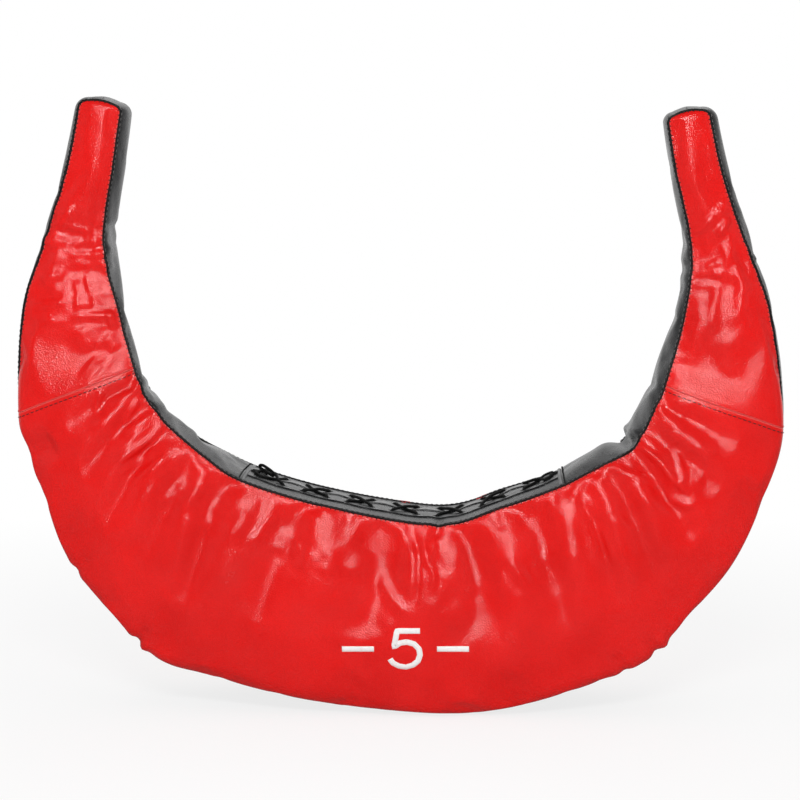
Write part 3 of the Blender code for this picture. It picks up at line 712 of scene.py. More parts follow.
front_folds = {
    "left_neck_1": ([(50, 222), (74, 228), (104, 236)], middling, sharp),
    "left_neck_2": ([(52, 213), (76, 214)], high, soft),
    "left_neck_3": ([(40, 243), (58, 240), (72, 242)], high, firm),
    "left_neck_4": ([(66, 245), (86, 242), (104, 240)], middling, firm),
    "left_neck_5": ([(64, 254), (88, 254), (112, 253)], high, sharp),
    "left_neck_6": ([(68, 262), (90, 261), (108, 258)], middling, firm),
    "left_neck_7": ([(38, 280), (54, 277), (68, 274)], high, firm),
    "left_neck_8": ([(36, 291), (62, 288)], low, firm),
    "left_neck_9": ([(34, 305), (52, 303), (68, 302)], high, sharp),
    "left_neck_10": ([(68, 317), (92, 316), (122, 315)], high, sharp),
    "left_neck_11": ([(44, 322), (68, 321)], middling, sharp),
    "left_horn_1": ([(72, 288), (88, 284)], high, soft),
    "left_horn_2": ([(72, 304), (94, 302)], high, soft),
    "left_horn_3": ([(78, 326), (90, 352)], high, soft),
    "left_horn_4": ([(106, 322), (116, 318)], high, soft),
    "left_horn_5": ([(104, 334), (118, 352)], high, soft),
    "left_horn_6": ([(86, 362), (100, 374)], high, broad),
    "left_horn_8": ([(100, 268), (114, 262)], middling, firm),
    "left_star_1": ([(102, 389), (98, 402), (94, 414)], high, sharp),
    "left_star_2": ([(96, 414), (110, 432), (122, 450)], high, soft),
    "left_star_3": ([(104, 404), (122, 397), (138, 391)], middling, sharp),
    "left_gather_1": ([(124, 426), (131, 412), (140, 398)], high, sharp),
    "left_gather_2": ([(122, 434), (140, 423), (158, 410)], high, sharp),
    "left_gather_3": ([(132, 452), (150, 437), (166, 424)], high, sharp),
    "left_gather_4": ([(108, 468), (136, 450), (164, 432)], high, sharp),
    "left_gather_5": ([(118, 475), (142, 459), (160, 446)], middling, sharp),
    "left_gather_6": ([(128, 486), (150, 470), (172, 452)], high, firm),
    "left_gather_7": ([(158, 506), (174, 494), (188, 478)], high, firm),
    "left_gather_8": ([(176, 512), (190, 499), (202, 484)], high, firm),
    "left_gather_9": ([(198, 532), (211, 519), (224, 502)], high, soft),
    "left_gather_10": ([(224, 540), (236, 528), (250, 510)], high, soft),
    "left_gather_11": ([(249, 548), (258, 535), (268, 516)], high, firm),
    "left_gather_12": ([(276, 556), (284, 543), (290, 528)], high, soft),
    "left_gather_13": ([(291, 558), (300, 541)], high, sharp),
    "left_gather_14": ([(300, 574), (306, 560), (312, 546)], high, soft),
    "left_gather_15": ([(324, 578), (329, 562), (332, 546)], high, soft),
    "middle_gather_1": ([(354, 578), (358, 562), (360, 546)], high, broad),
    "middle_gather_2": ([(383, 566), (384, 584), (392, 600), (413, 621)], high, firm),
    "middle_gather_3": ([(402, 594), (409, 578), (412, 556), (416, 540)], high, broad),
    "middle_valley": ([(417, 532), (419, 560), (418, 588), (413, 612)], -high, sharp),
    "middle_gather_4": ([(421, 532), (426, 556), (434, 574), (431, 598)], high, sharp),
    "middle_kink": ([(439, 514), (439, 528), (437, 542)], -high, firm),
    "middle_kink_fold": ([(441, 532), (434, 546), (428, 562)], middling, sharp),
    "right_gather_1": ([(450, 562), (460, 580), (476, 598)], high, broad),
    "right_gather_2": ([(500, 566), (502, 582), (501, 598)], middling, firm),
    "right_gather_3": ([(506, 556), (518, 572), (532, 588)], high, firm),
    "right_gather_4": ([(534, 560), (542, 580)], middling, firm),
    "right_gather_5": ([(548, 544), (561, 556), (578, 568)], high, broad),
    "right_gather_6": ([(568, 490), (576, 506), (583, 520)], low, sharp),
    "right_gather_7": ([(582, 494), (592, 508), (604, 520)], middling, firm),
    "right_gather_8": ([(582, 508), (590, 532), (597, 558), (610, 568)], high, firm),
    "right_gather_9": ([(600, 522), (608, 544), (616, 566)], high, sharp),
    "right_gather_10": ([(614, 514), (626, 526), (638, 538)], middling, firm),
    "right_plane": ([(630, 488), (652, 504), (668, 514), (692, 530)], high, soft),
    "right_curl_1": ([(632, 440), (648, 452), (662, 464), (672, 478), (686, 490)], high, sharp),
    "right_curl_2": ([(673, 446), (680, 462), (683, 476), (682, 490)], high, sharp),
    "right_hook": ([(666, 488), (672, 500), (686, 506), (702, 504)], high, sharp),
    "right_hook_valley": ([(672, 486), (680, 494), (692, 497)], -high, sharp),
    "right_pinch_line": ([(600, 464), (632, 475), (664, 484)], middling, sharp),
    "right_patch_1": ([(667, 430), (676, 446)], high, soft),
    "right_patch_2": ([(692, 441), (704, 451), (716, 459)], high, soft),
    "right_patch_3": ([(684, 466), (696, 476), (706, 482)], high, soft),
    "right_patch_4": ([(672, 404), (690, 414)], middling, soft),
    "right_neck_1": ([(688, 236), (702, 228), (718, 214)], high, sharp),
    "right_neck_2": ([(722, 196), (725, 206), (717, 218)], high, firm),
    "right_neck_3": ([(731, 214), (725, 226), (716, 238)], high, sharp),
    "right_stream_1": ([(721, 236), (728, 251), (738, 270), (743, 290), (740, 312), (728, 328)], high, firm),
    "right_stream_2": ([(742, 240), (749, 262), (756, 286)], high, firm),
    "right_stream_3": ([(706, 278), (700, 300), (702, 324), (692, 352), (688, 376)], high, soft),
    "right_stream_4": ([(719, 280), (714, 306), (712, 336)], high, firm),
    "right_stream_5": ([(724, 330), (732, 352), (732, 380)], high, broad),
    "right_step": ([(690, 279), (708, 279), (724, 281)], -high, sharp),
    "right_ridge_1": ([(704, 267), (722, 262)], middling, sharp),
    "right_ridge_2": ([(711, 273), (724, 275)], middling, sharp),
    "right_horn_highlight": ([(704, 118), (712, 150), (719, 184)], middling, firm),
    "left_gusset_kink": ([(104, 228), (122, 226)], -high, firm),
    "left_gusset_ridge": ([(102, 250), (118, 248)], high, firm),
    "left_gusset_fold": ([(140, 398), (150, 388), (160, 380)], -high, firm),
    "left_gusset_bump": ([(152, 410), (166, 404)], high, soft),
    "left_gusset_bump_2": ([(190, 432), (204, 424)], high, soft),
    "right_gusset_kink": ([(676, 270), (694, 266)], -high, firm),
    "right_pinch": ([(604, 424), (620, 438), (640, 446)], -deep, soft),
    "right_pinch_lip": ([(618, 424), (632, 434), (644, 432)], raised, firm),
    "left_outline_step": ([(150, 626), (138, 640), (126, 652)], -raised, firm),
    "left_outline_bump": ([(148, 640), (140, 650), (134, 660)], high, firm),
    "left_outline_low": ([(92, 556), (76, 570), (64, 578)], -high, firm),
    "left_outline_high": ([(56, 440), (38, 450), (24, 456)], -deep, broad),
    "right_outline_step": ([(646, 636), (656, 652), (664, 664)], -high, firm),
    "right_outline_bump": ([(656, 634), (666, 646), (674, 656)], high, firm),
    "right_outline_low": ([(612, 652), (622, 666), (630, 676)], -high, firm),
    "right_outline_high": ([(738, 478), (750, 490), (762, 498)], -high, firm),
}

back_folds = {
    "neck_left_1": ([(54, 230), (78, 226), (102, 230)], high, firm),
    "neck_left_2": ([(44, 252), (66, 256), (84, 250)], high, sharp),
    "neck_left_3": ([(48, 276), (80, 270), (106, 274)], high, firm),
    "neck_left_4": ([(34, 300), (60, 298), (90, 306)], middling, sharp),
    "neck_left_5": ([(78, 324), (96, 332), (118, 330)], high, soft),
    "neck_right_1": ([(690, 224), (710, 232), (730, 226)], high, firm),
    "neck_right_2": ([(696, 250), (716, 246), (738, 252)], middling, sharp),
    "neck_right_3": ([(694, 284), (716, 280), (744, 286)], high, firm),
    "neck_right_4": ([(700, 312), (724, 318), (748, 312)], high, soft),
    "gather_1": ([(118, 462), (142, 448), (162, 430)], high, sharp),
    "gather_2": ([(146, 494), (166, 478), (184, 458)], high, firm),
    "gather_3": ([(186, 520), (202, 502), (216, 482)], high, soft),
    "gather_4": ([(236, 548), (248, 528), (256, 508)], high, firm),
    "gather_5": ([(286, 566), (294, 544), (298, 522)], high, soft),
    "gather_6": ([(336, 586), (342, 560), (344, 534)], high, firm),
    "gather_7": ([(392, 600), (390, 572), (396, 544)], high, soft),
    "gather_8": ([(452, 596), (446, 570), (444, 542)], high, sharp),
    "gather_9": ([(506, 590), (498, 562), (494, 530)], high, soft),
    "gather_10": ([(566, 570), (552, 546), (544, 516)], high, firm),
    "gather_11": ([(622, 548), (604, 522), (594, 494)], high, soft),
    "gather_12": ([(664, 510), (646, 486), (632, 462)], high, firm),
    "gather_13": ([(688, 470), (670, 452), (654, 436)], middling, sharp),
    "outline_1": ([(120, 616), (108, 630), (98, 640)], -lowered, firm),
    "outline_2": ([(676, 620), (690, 632), (700, 640)], -lowered, firm),
}


class Folder:
    """Raises folds on one side of the bag. The back is seen as the photograph's view would see it from
    behind."""

    def __init__(self, from_behind):
        self.points = SKIN.points()
        self.normals = SKIN.normals()
        turned = np.array([-1.0, -1.0, 1.0]) if from_behind else np.ones(3)
        self.pixels = VIEW.project(self.points * turned)
        self.faces_view = smooth(fold_limit, fold_limit + fold_fade, (self.normals * turned) @ VIEW.back)
        self.rise = np.zeros(len(self.points))

    def fold(self, line, height, width):
        """A ridge that ends softly. Its distances are measured in the picture."""
        line = np.array(line, float)
        reach = width * VIEW.pixels / view_distance
        inside = (self.pixels > line.min(axis=0) - 3 * reach) & (self.pixels < line.max(axis=0) + 3 * reach)
        near = np.nonzero(np.all(inside, axis=1) & (self.faces_view > 0))[0]
        along = distances_along(line)
        best = np.full(len(near), 1e9)
        place = np.zeros(len(near))
        for start, end, begin, length in zip(line, line[1:], along, np.diff(along)):
            way = (end - start) / length
            offset = self.pixels[near] - start
            done = np.clip(offset @ way, 0.0, length)
            away = np.linalg.norm(offset - done[:, None] * way, axis=1)
            place = np.where(away < best, begin + done, place)
            best = np.minimum(away, best)
        share = place / along[-1]
        ends = smooth(0.0, fold_end_share, share) * smooth(0.0, fold_end_share, 1.0 - share)
        level = best / reach
        shape = np.exp(-(level**2)) - fold_trough_share * np.exp(-((level - 2.0) ** 2))
        self.rise[near] += height * shape * ends * self.faces_view[near]

    def result(self):
        return self.points + self.normals * self.rise[:, None]


for from_behind, folds in ((False, front_folds), (True, back_folds)):
    folder = Folder(from_behind)
    for line, height, width in folds.values():
        folder.fold(line, height, width)
    SKIN.take(folder.result())

SKIN.take(on_the_floor(SKIN.points()))


# Materials

class Nodes:
    """A node tree, built node by node. Inputs are given by their names or numbers."""

    def __init__(self, tree):
        self.tree = tree

    def put(self, target, value):
        """Sets an input, or links it to where its value comes from."""
        if isinstance(value, bpy.types.NodeSocket):
            self.tree.links.new(value, target)
        else:
            target.default_value = value

    def node(self, kind, inputs=None, **settings):
        """The outputs of a new node."""
        made = self.tree.nodes.new(kind)
        for key, value in settings.items():
            setattr(made, key, value)
        for key, value in (inputs or {}).items():
            self.put(made.inputs[key], value)
        return made.outputs

    def range(self, value, low, high, to_low, to_high):
        return self.node("ShaderNodeMapRange", {0: value, 1: low, 2: high, 3: to_low, 4: to_high})[0]

    def math(self, operation, first, second):
        return self.node("ShaderNodeMath", {0: first, 1: second}, operation=operation)[0]


class Paint(Nodes):
    """A procedural material. Its places are taken at rest, so that nothing slides."""

    def __init__(self, name, colour, roughness, specular=0.5):
        self.material = bpy.data.materials.new(name)
        self.material.use_nodes = True
        super().__init__(self.material.node_tree)
        shader = self.tree.nodes["Principled BSDF"]
        self.inputs = shader.inputs
        self.surface = shader.outputs[0]
        self.put(self.inputs["Base Color"], (*colour, 1.0))
        self.put(self.inputs["Roughness"], roughness)
        self.put(self.inputs["Specular IOR Level"], specular)
        self.place = self.attribute("rest_place", "Vector")
        self.normal = None

    def attribute(self, name, output="Fac"):
        return self.node("ShaderNodeAttribute", attribute_name=name)[output]

    def noise(self, scale, detail, roughness=0.5):
        values = {"Scale": scale, "Detail": detail, "Roughness": roughness, "Vector": self.place}
        return self.node("ShaderNodeTexNoise", values)["Fac"]

    def cells(self, size):
        return self.node("ShaderNodeTexVoronoi", {"Scale": 1.0 / size, "Vector": self.place})["Distance"]

    def mixed(self, share, first, second):
        return self.node("ShaderNodeMix", {0: share, 6: first, 7: second}, data_type="RGBA")[2]

    def colour(self, value):
        self.put(self.inputs["Base Color"], value)

    def bump(self, height, strength, distance):
        values = {"Strength": strength, "Distance": distance, "Height": height}
        if self.normal is not None:
            values["Normal"] = self.normal
        self.normal = self.node("ShaderNodeBump", values)["Normal"]
        self.put(self.inputs["Normal"], self.normal)


def shade(colour, factor=1.0):
    return (*(part * factor for part in colour), 1.0)


black_worn = (0.028, 0.028, 0.029)
# The rim colour of each leather: on the red one a painted highlight along its seam ridges and edges, on the
# black ones lighter rubbed wear
leathers = {
    "red_leather_look": {
        "colour": (0.750, 0.0075, 0.0062), "worn": (0.780, 0.0160, 0.0140), "rim_sheen_and_wear": (0.860, 0.1300, 0.1200),
        "roughness": 0.21, "grain": 0.90, "specular": 0.50,
    },
    "black_leather_look": {
        "colour": (0.013, 0.013, 0.014), "worn": black_worn, "rim_sheen_and_wear": black_worn,
        "roughness": 0.26, "grain": 0.80, "specular": 0.50,
    },
    "binding_look": {
        "colour": (0.006, 0.006, 0.006), "worn": black_worn, "rim_sheen_and_wear": black_worn,
        "roughness": 0.50, "grain": 0.25, "specular": 0.30,
    },
    "welt_look": {
        "colour": (0.130, 0.130, 0.132), "worn": (0.190, 0.190, 0.190), "rim_sheen_and_wear": (0.190, 0.190, 0.190),
        "roughness": 0.38, "grain": 0.25, "specular": 0.50,
    },
}
grain_size = 0.00085
grain_depth = 0.00015
pore_size = 0.00038
pore_depth = 0.00005
warp_depth = 0.0006
# How far the painted shade beside the seams reaches
seam_shade_reach = 0.0030
# How far the painted highlight on the red leather's seam ridges and sheet edges reaches; on the black
# leathers it is rubbed wear
ridge_sheen_and_wear_reach = (0.0002, 0.0009)
edge_sheen_and_wear_reach = (0.0012, 0.0019)
patch_scale = 26.0
smear_scale = 48.0
scuff_scale = 85.0
warp_scale = 320.0
strand_scale = 1800.0
strand_depth = 0.00015
lace_colour = (0.008, 0.008, 0.008)
fibre_scale = 3200.0
fibre_depth = 0.0001
print_colour = (0.84, 0.84, 0.83)
print_worn = (0.80, 0.42, 0.40)
wear_scale = 420.0
print_grain_size = 1.0 / 1150.0
print_grain_depth = 0.00012


def leather_material(name):
    """Embossed artificial leather: fine grain, soft colour changes, painted shade beside the seams, and
    lighter seam ridges and edges that are a painted highlight on the red leather and rubbed wear on the
    black ones.
    """
    look = leathers[name]
    colour, roughness, grain = look["colour"], look["roughness"], look["grain"]
    paint = Paint(name, colour, roughness, look["specular"])
    patches = paint.range(paint.noise(patch_scale, 3.0), 0.30, 0.70, 0.0, 1.0)
    warp = paint.noise(warp_scale, 2.0)
    pebbles = paint.cells(grain_size)
    pores = paint.cells(pore_size)
    seam = paint.attribute("seam_distance")
    ridge = paint.range(seam, *ridge_sheen_and_wear_reach, 0.80, 0.0)
    edge = paint.range(paint.attribute("edge_distance"), *edge_sheen_and_wear_reach, 0.45, 0.0)
    scuffs = paint.noise(scuff_scale, 6.0, 0.7)
    layers = (
        (paint.range(pebbles, 0.25, 0.75, 0.0, 0.30), shade(colour, 0.70)),
        # painted shade: the leather darkened next to its seams, where it dips into them
        (paint.range(seam, 0.0, seam_shade_reach, 0.12, 0.0), shade(colour, 0.60)),
        # painted highlight on the red leather's seam ridges and sheet edges, rubbed wear on the black ones
        (paint.math("MAXIMUM", ridge, edge), shade(look["rim_sheen_and_wear"])),
        (paint.range(scuffs, 0.60, 0.78, 0.0, 0.25), shade(look["worn"])),
    )
    tone = paint.mixed(patches, shade(colour, 0.90), shade(colour, 1.06))
    for share, over in layers:
        tone = paint.mixed(share, tone, over)
    paint.colour(tone)
    smears = paint.noise(smear_scale, 4.0, 0.6)
    paint.put(paint.inputs["Roughness"], paint.range(smears, 0.25, 0.75, roughness - 0.05, roughness + 0.07))
    paint.bump(warp, 0.10, warp_depth)
    paint.bump(pebbles, grain, grain_depth)
    paint.bump(pores, grain * 0.5, pore_depth)
    return paint.material


def thread_material(name, colour, roughness):
    """Twisted sewing thread."""
    paint = Paint(name, colour, roughness)
    strands = paint.noise(strand_scale, 2.0)
    paint.colour(paint.mixed(strands, shade(colour, 0.6), shade(colour, 1.35)))
    paint.bump(strands, 0.5, strand_depth)
    return paint.material


def make_lace_material():
    """Round braided cord, with painted shade between its strands."""
    paint = Paint("lace_look", lace_colour, 0.75, 0.25)
    weave = paint.range(paint.attribute("weave"), -0.2, 1.0, 0.0, 1.0)
    fibres = paint.noise(fibre_scale, 2.0)
    share = paint.math("MULTIPLY", weave, paint.range(fibres, 0.3, 0.7, 0.6, 1.0))
    # painted shade: darker where the braid's strands dip, lighter on their crests
    paint.colour(paint.mixed(share, shade(lace_colour, 0.25), shade(lace_colour, 1.625)))
    paint.bump(fibres, 0.4, fibre_depth)
    return paint.material


def make_print_material():
    """White printing ink, a little worn, over the leather's grain."""
    paint = Paint("print_look", print_colour, 0.50)
    wear = paint.range(paint.noise(wear_scale, 5.0, 0.65), 0.30, 0.46, 0.35, 0.0)
    paint.colour(paint.mixed(wear, shade(print_colour), shade(print_worn)))
    paint.bump(paint.cells(print_grain_size), 0.35, print_grain_depth)
    return paint.material


RED = leather_material("red_leather_look")
BLACK = leather_material("black_leather_look")
BINDING = leather_material("binding_look")
WELT = leather_material("welt_look")
SEAM_THREAD = thread_material("seam_thread_look", (0.006, 0.006, 0.006), 0.65)
PALE_THREAD = thread_material("pale_thread_look", (0.16, 0.15, 0.15), 0.45)
# The topstitch thread is red; its dark tone is painted shade, standing for the puckered stitch holes it
# sinks into
RED_THREAD = thread_material("red_thread_look", (0.12, 0.003, 0.003), 0.70)
LACE = make_lace_material()
PRINT = make_print_material()


# Pieces and what carries them

leather = 0.0013


def declare(piece, side=None, stands_for=()):
    """The piece rides on the bag, or keeps its place with its transform baked in when a side is given, and
    stands for these nodes of the part.
    """
    if side is None:
        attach(piece, "bag")
    else:
        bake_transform(piece)
    if stands_for:
        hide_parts(*stands_for)


def add_attribute(mesh, name, kind, values):
    field = "vector" if kind == "FLOAT_VECTOR" else "value"
    made = mesh.attributes.new(name, kind, "POINT")
    made.data.foreach_set(field, np.asarray(values, dtype=np.float32).ravel())


def mesh_object(name, points, faces, paint):
    mesh = new_mesh(name, points, faces)
    mesh.materials.append(paint)
    mesh.shade_smooth()
    add_attribute(mesh, "rest_place", "FLOAT_VECTOR", points)
    return linked(name, mesh)


def border_distance(grid):
    """How far each point of a grid lies from the grid's long borders."""
    along = np.array([distances_along(row) for row in grid])
    return np.minimum(along, along[:, -1:] - along)


def sheet_piece(name, grid, paint):
    """A sheet of leather whose outer side is this grid of points."""
    made = mesh_object(name, grid.reshape(-1, 3), grid_faces(*grid.shape[:2]), paint)
    long_edges = border_distance(grid)
    ends = border_distance(grid.swapaxes(0, 1)).T
    add_attribute(made.data, "seam_distance", "FLOAT", np.minimum(long_edges, ends))
    add_attribute(made.data, "edge_distance", "FLOAT", long_edges)
    solid = made.modifiers.new("thickness", "SOLIDIFY")
    solid.thickness = leather
    solid.offset = -1.0
    solid.use_even_offset = False
    return made


ROW_NORMALS = SKIN.normals()[: row_count * ring_size].reshape(row_count, ring_size, 3)


def row_slice(rows, columns):
    """Points and outward directions of a part of the skin."""
    picked = np.ix_(list(rows), [column % ring_size for column in columns])
    return SKIN.rows[picked].copy(), ROW_NORMALS[picked]


seam_dip = 0.00014
seam_shoulder = 0.0007
seam_rise = 0.0003
edge_gap = 0.00006
most_drawn_share = 0.45


def tucked(grid, normals, at_start, at_end, rise=0.0):
    """The grid with its end rows turned down into a seam, and a row more at the shoulder beside it."""
    rows = list(grid)
    for end, inside, wanted in ((0, 1, at_start), (-1, -2, at_end)):
        if wanted:
            edge, beside = grid[end], grid[inside]
            length = np.linalg.norm(beside - edge, axis=1, keepdims=True)
            shoulder = mix(edge, beside, seam_shoulder / length) + normals[end] * rise
            rows[end] = mix(edge, beside, edge_gap / length) - normals[end] * seam_dip
            rows.insert(1 if end == 0 else len(rows) - 1, shoulder)
    return np.array(rows)


def drawn_from_seams(grid):
    """The grid with its long borders a little short of the seams, under the binding."""
    drawn = grid.copy()
    for edge, inside in ((0, 1), (-1, -2)):
        way = grid[:, inside] - grid[:, edge]
        length = np.linalg.norm(way, axis=1, keepdims=True)
        drawn[:, edge] += way * np.minimum(most_drawn_share, edge_gap / np.maximum(length, 1e-9))
    return drawn


def make_panel(name, rows, face, side, stands_for):
    first, last = rows
    columns = range(0, panel_columns + 1) if face < 0 else range(back_outer, back_inner + 1)
    grid, normals = row_slice(range(first, last + 1), columns)
    grid = tucked(grid, normals, first != 0, last != last_row, seam_rise if side else 0.0)
    piece = sheet_piece(name, drawn_from_seams(grid), RED)
    declare(piece, side, stands_for)


def make_panels():
    horn_rows = {"left": (0, left_horn_row), "right": (right_horn_row, last_row)}
    for face, word in ((-1, "front"), (1, "back")):
        hidden = [word + "_main_panel", word + "_wadding"]
        if face < 0:
            hidden += ["left_sand_pouch", "centre_sand_pouch", "right_sand_pouch"]
        make_panel(word + "_main_panel_leather", (left_horn_row, right_horn_row), face, None, hidden)
        for side, rows in horn_rows.items():
            hidden = [f"{word}_{side}_horn_panel"]
            if face < 0:
                hidden.append(side + "_handle_core")
            make_panel(f"{word}_{side}_horn_leather", rows, face, side, hidden)


def cap_rows(row, columns):
    """Rows of a horn's end, from its seam toward the middle of the end."""
    return [SKIN.caps[row][column] for column in columns]


def make_gusset(name, rows, is_outer, side=None, cap_columns=()):
    """A side wall. Its rows run from the middle of the bag to a horn, each from the front seam to the back
    one, and on over half of the horn's end."""
    columns = range(front_outer, back_outer + 1) if is_outer else range(ring_size, back_inner - 1, -1)
    grid, normals = row_slice(rows, columns)
    grid = [*grid, *cap_rows(rows[-1], cap_columns)]
    normals = [*normals, *[normals[-1]] * len(cap_columns)]
    grid = drawn_from_seams(tucked(np.array(grid), np.array(normals), True, side is None))
    goes_right = rows[-1] > rows[0]
    if goes_right != is_outer:
        grid = grid[:, ::-1]
    piece = sheet_piece(name + "_leather", grid, BLACK)
    declare(piece, side, [name])


def make_gussets():
    middle = panel_columns // 2
    inner_caps = range(1, middle)
    outer_caps = range(panel_columns - 1, middle, -1)
    places = {
        "left": (range(left_lacing_row, -1, -1), range(left_horn_row, -1, -1)),
        "right": (range(right_lacing_row, last_row + 1), range(right_horn_row, last_row + 1)),
    }
    for side, (inner_rows, outer_rows) in places.items():
        make_gusset(f"inner_{side}_gusset", inner_rows, False, side, inner_caps)
        make_gusset(f"outer_{side}_gusset", outer_rows, True, side, outer_caps)
    make_gusset("outer_main_gusset", range(left_horn_row, right_horn_row + 1), True)


make_panels()
make_gussets()


# Seams: the binding round each face, and its stitches

stitch_reach = 0.0021
far_from_seams = 0.01
thread_end_share = 0.55

# A stitch's places along it as shares, and how high they lie, in its thread's radii
stitch_form = [(0.0, -1.3), (0.2, 0.0), (0.5, 0.3), (0.8, 0.0), (1.0, -1.3)]
reach_cells = 9


def walked(points, distance):
    """The place this far along a line of points."""
    return at_distance(distance, distances_along(points), points)


def seam_line(face, side):
    """One side's half of the seam round a face: its points, their outward directions and, for each, a
    point of the panel a stitch's reach inside it. It runs from the middle of the inner seam over the
    horn's end to the middle of the outer seam."""
    middle = (left_lacing_row + right_lacing_row) // 2
    rows = range(middle, last_row + 1) if side == "right" else range(middle, -1, -1)
    inner_column = 0 if face < 0 else back_inner
    outer_column = front_outer if face < 0 else back_outer
    inward = 1 if face < 0 else -1
    tip = rows[-1]
    back = -1 if tip == last_row else 1
    steps = np.arange(reach_cells)
    places = [(row, inner_column, row, inner_column + inward * steps) for row in rows]
    for column in range(inner_column + inward, outer_column, inward):
        places.append((tip, column, tip + back * steps, column))
    places += [(row, outer_column, row, outer_column - inward * steps) for row in reversed(rows)]
    points = [SKIN.rows[row, column] for row, column, _, _ in places]
    normals = [ROW_NORMALS[row, column] for row, column, _, _ in places]
    insides = [walked(SKIN.rows[down, across], stitch_reach) for _, _, down, across in places]
    return np.array(points), np.array(normals), np.array(insides)


def resampled(lines, spacing):
    """The lines at even steps along the first of them."""
    along = distances_along(lines[0])
    wanted = np.linspace(0.0, along[-1], max(2, round(along[-1] / spacing) + 1))
    return [at_distance(wanted, along, line) for line in lines]


def sweep(name, points, normals, profile, paint):
    """A strip along a line: its profile is given as sideways and outward distances."""
    ways = units(np.gradient(points, axis=0))
    sides = units(np.cross(ways, normals))
    outs = units(np.cross(sides, ways))
    places = []
    for point, side, out in zip(points, sides, outs):
        places += [point + side * across + out * up for across, up in profile]
    made = mesh_object(name, places, tube_faces(len(points), len(profile)), paint)
    facing_out(made)
    for attribute in ("seam_distance", "edge_distance"):
        add_attribute(made.data, attribute, "FLOAT", np.full(len(places), far_from_seams))
    smoother = made.modifiers.new("smoother", "SUBSURF")
    smoother.levels = 1
    smoother.render_levels = 1
    return made


def facing_out(piece):
    shape = bmesh.new()
    shape.from_mesh(piece.data)
    bmesh.ops.recalc_face_normals(shape, faces=shape.faces)
    shape.to_mesh(piece.data)
    shape.free()
    piece.data.shade_smooth()


class Threads:
    """Many short lengths of thread, as one piece."""

    def __init__(self, radius, corners=6):
        self.radius = radius
        self.corners = corners
        self.points = []
        self.faces = []

    def add(self, path):
        path = np.array(path)
        ways = units(np.gradient(path, axis=0))
        helper = np.array([0.0, 1.0, 0.0]) if abs(ways[0][1]) < 0.8 else np.array([1.0, 0.0, 0.0])
        sides = units(np.cross(ways, helper))
        ups = np.cross(ways, sides)
        self.faces += tube_faces(len(path), self.corners, len(self.points))
        for number, (point, side, up) in enumerate(zip(path, sides, ups)):
            radius = self.radius * (thread_end_share if number in (0, len(path) - 1) else 1.0)
            for corner in range(self.corners):
                angle = 2 * math.pi * corner / self.corners
                self.points.append(point + (side * math.cos(angle) + up * math.sin(angle)) * radius)

    def piece(self, name, paint, slot, side=None):
        made = mesh_object(name, self.points, self.faces, paint)
        facing_out(made)
        declare(made, side)


def stitch_row(threads, points, outs, pitch, length, height):
    """Even stitches along a line, each dipping into the leather at its ends."""
    along = distances_along(points)
    start = (pitch - length) / 2
    while start + length < along[-1]:
        path = []
        for share, radii in stitch_form:
            distance = start + length * share
            out = unit(at_distance(distance, along, outs))
            path.append(at_distance(distance, along, points) + out * (height + threads.radius * radii))
        threads.add(path)
        start += pitch


binding_profile = [
    (-0.0009, -0.0009), (-0.0011, -0.0001), (-0.0008, 0.0005), (-0.0003, 0.0008),
    (0.0003, 0.0008), (0.0008, 0.0005), (0.0011, -0.0001), (0.0009, -0.0009),
]
binding_step = 0.0014
loop_radius = 0.00026
loop_pitch = 0.0030
crest_radius = 0.00017
crest_pitch = 0.0034
crest_stitch = 0.0021
crest_height = 0.0009

# A binding loop's places: shares of the way to its inner end, distances further inward, and heights
loop_form = [
    (0.0, 0.0, 0.0008), (0.0, 0.0006, 0.0007), (0.60, 0.0, 0.0003), (0.85, 0.0, 0.0001), (1.0, 0.0, -0.0004),
]


def make_binding(face, word, side):
    lines = resampled(seam_line(face, side), binding_step)
    points, normals = lines[:2]
    strip = sweep(f"{word}_{side}_edge_binding", points, normals, binding_profile, BINDING)
    declare(strip, side, [word + "_edge_binding"])
    loops = Threads(loop_radius)
    line, outs, insides = resampled(lines, loop_pitch)
    for point, out, far in zip(line, units(outs), insides):
        way = unit(far - point)
        loops.add([mix(point, far, share) + way * more + out * height for share, more, height in loop_form])
    loops.piece(f"{word}_{side}_edge_stitches", SEAM_THREAD, "black_binding", side)
    crest = Threads(crest_radius, corners=5)
    stitch_row(crest, points, normals, crest_pitch, crest_stitch, crest_height)
    crest.piece(f"{word}_{side}_binding_stitches", PALE_THREAD, "black_binding", side)


for number, word in ((-1, "front"), (1, "back")):
    for side in ("left", "right"):
        make_binding(number, word, side)


# The lacing: two lips, the tongue under them, the end seams and the lace

lip_step = 0.0016
slit_half = 0.0013
slit_sway = 0.0005
hem_share = 0.47
hem_sway_share = 0.030
hem_height = 0.0008
hem_width = 0.0004
lip_sway = 0.0007
lip_curl = 0.0010
back_lip_lift = 0.0006
cross_count = 7
hole_from_middle = 0.017
hole_radius = 0.0019
cross_half = 0.0088
loop_shares = [
    (0.20, -0.0026, 0.0038), (-0.40, 0.0030, 0.0052), (-1.10, 0.0085, 0.0054), (-1.36, 0.0108, 0.0044),
    (-1.26, 0.0120, 0.0030), (-0.70, 0.0080, 0.0024), (-0.10, 0.0030, 0.0026),
]
last_hole_from_end = 0.00805
hole_reach = 0.006
hole_corners = 14
sway_across = (0.004, 0.026)
sway_end_reach = 0.018
lip_end_reach = 0.010
edge_drift = 0.002
hem_drift = 0.004
hem_waves = 61.0
hem_drift_share = 0.4
hem_groove = 0.0003
hem_fold_share = 0.85
hem_top_share = 0.6
lip_columns = 8
hem_columns = 11
lip_edge_turns = (30, 60, 90, 125, 160)
lip_sharp_angle = 50
tongue_below = 0.0042
tongue_half = 0.013
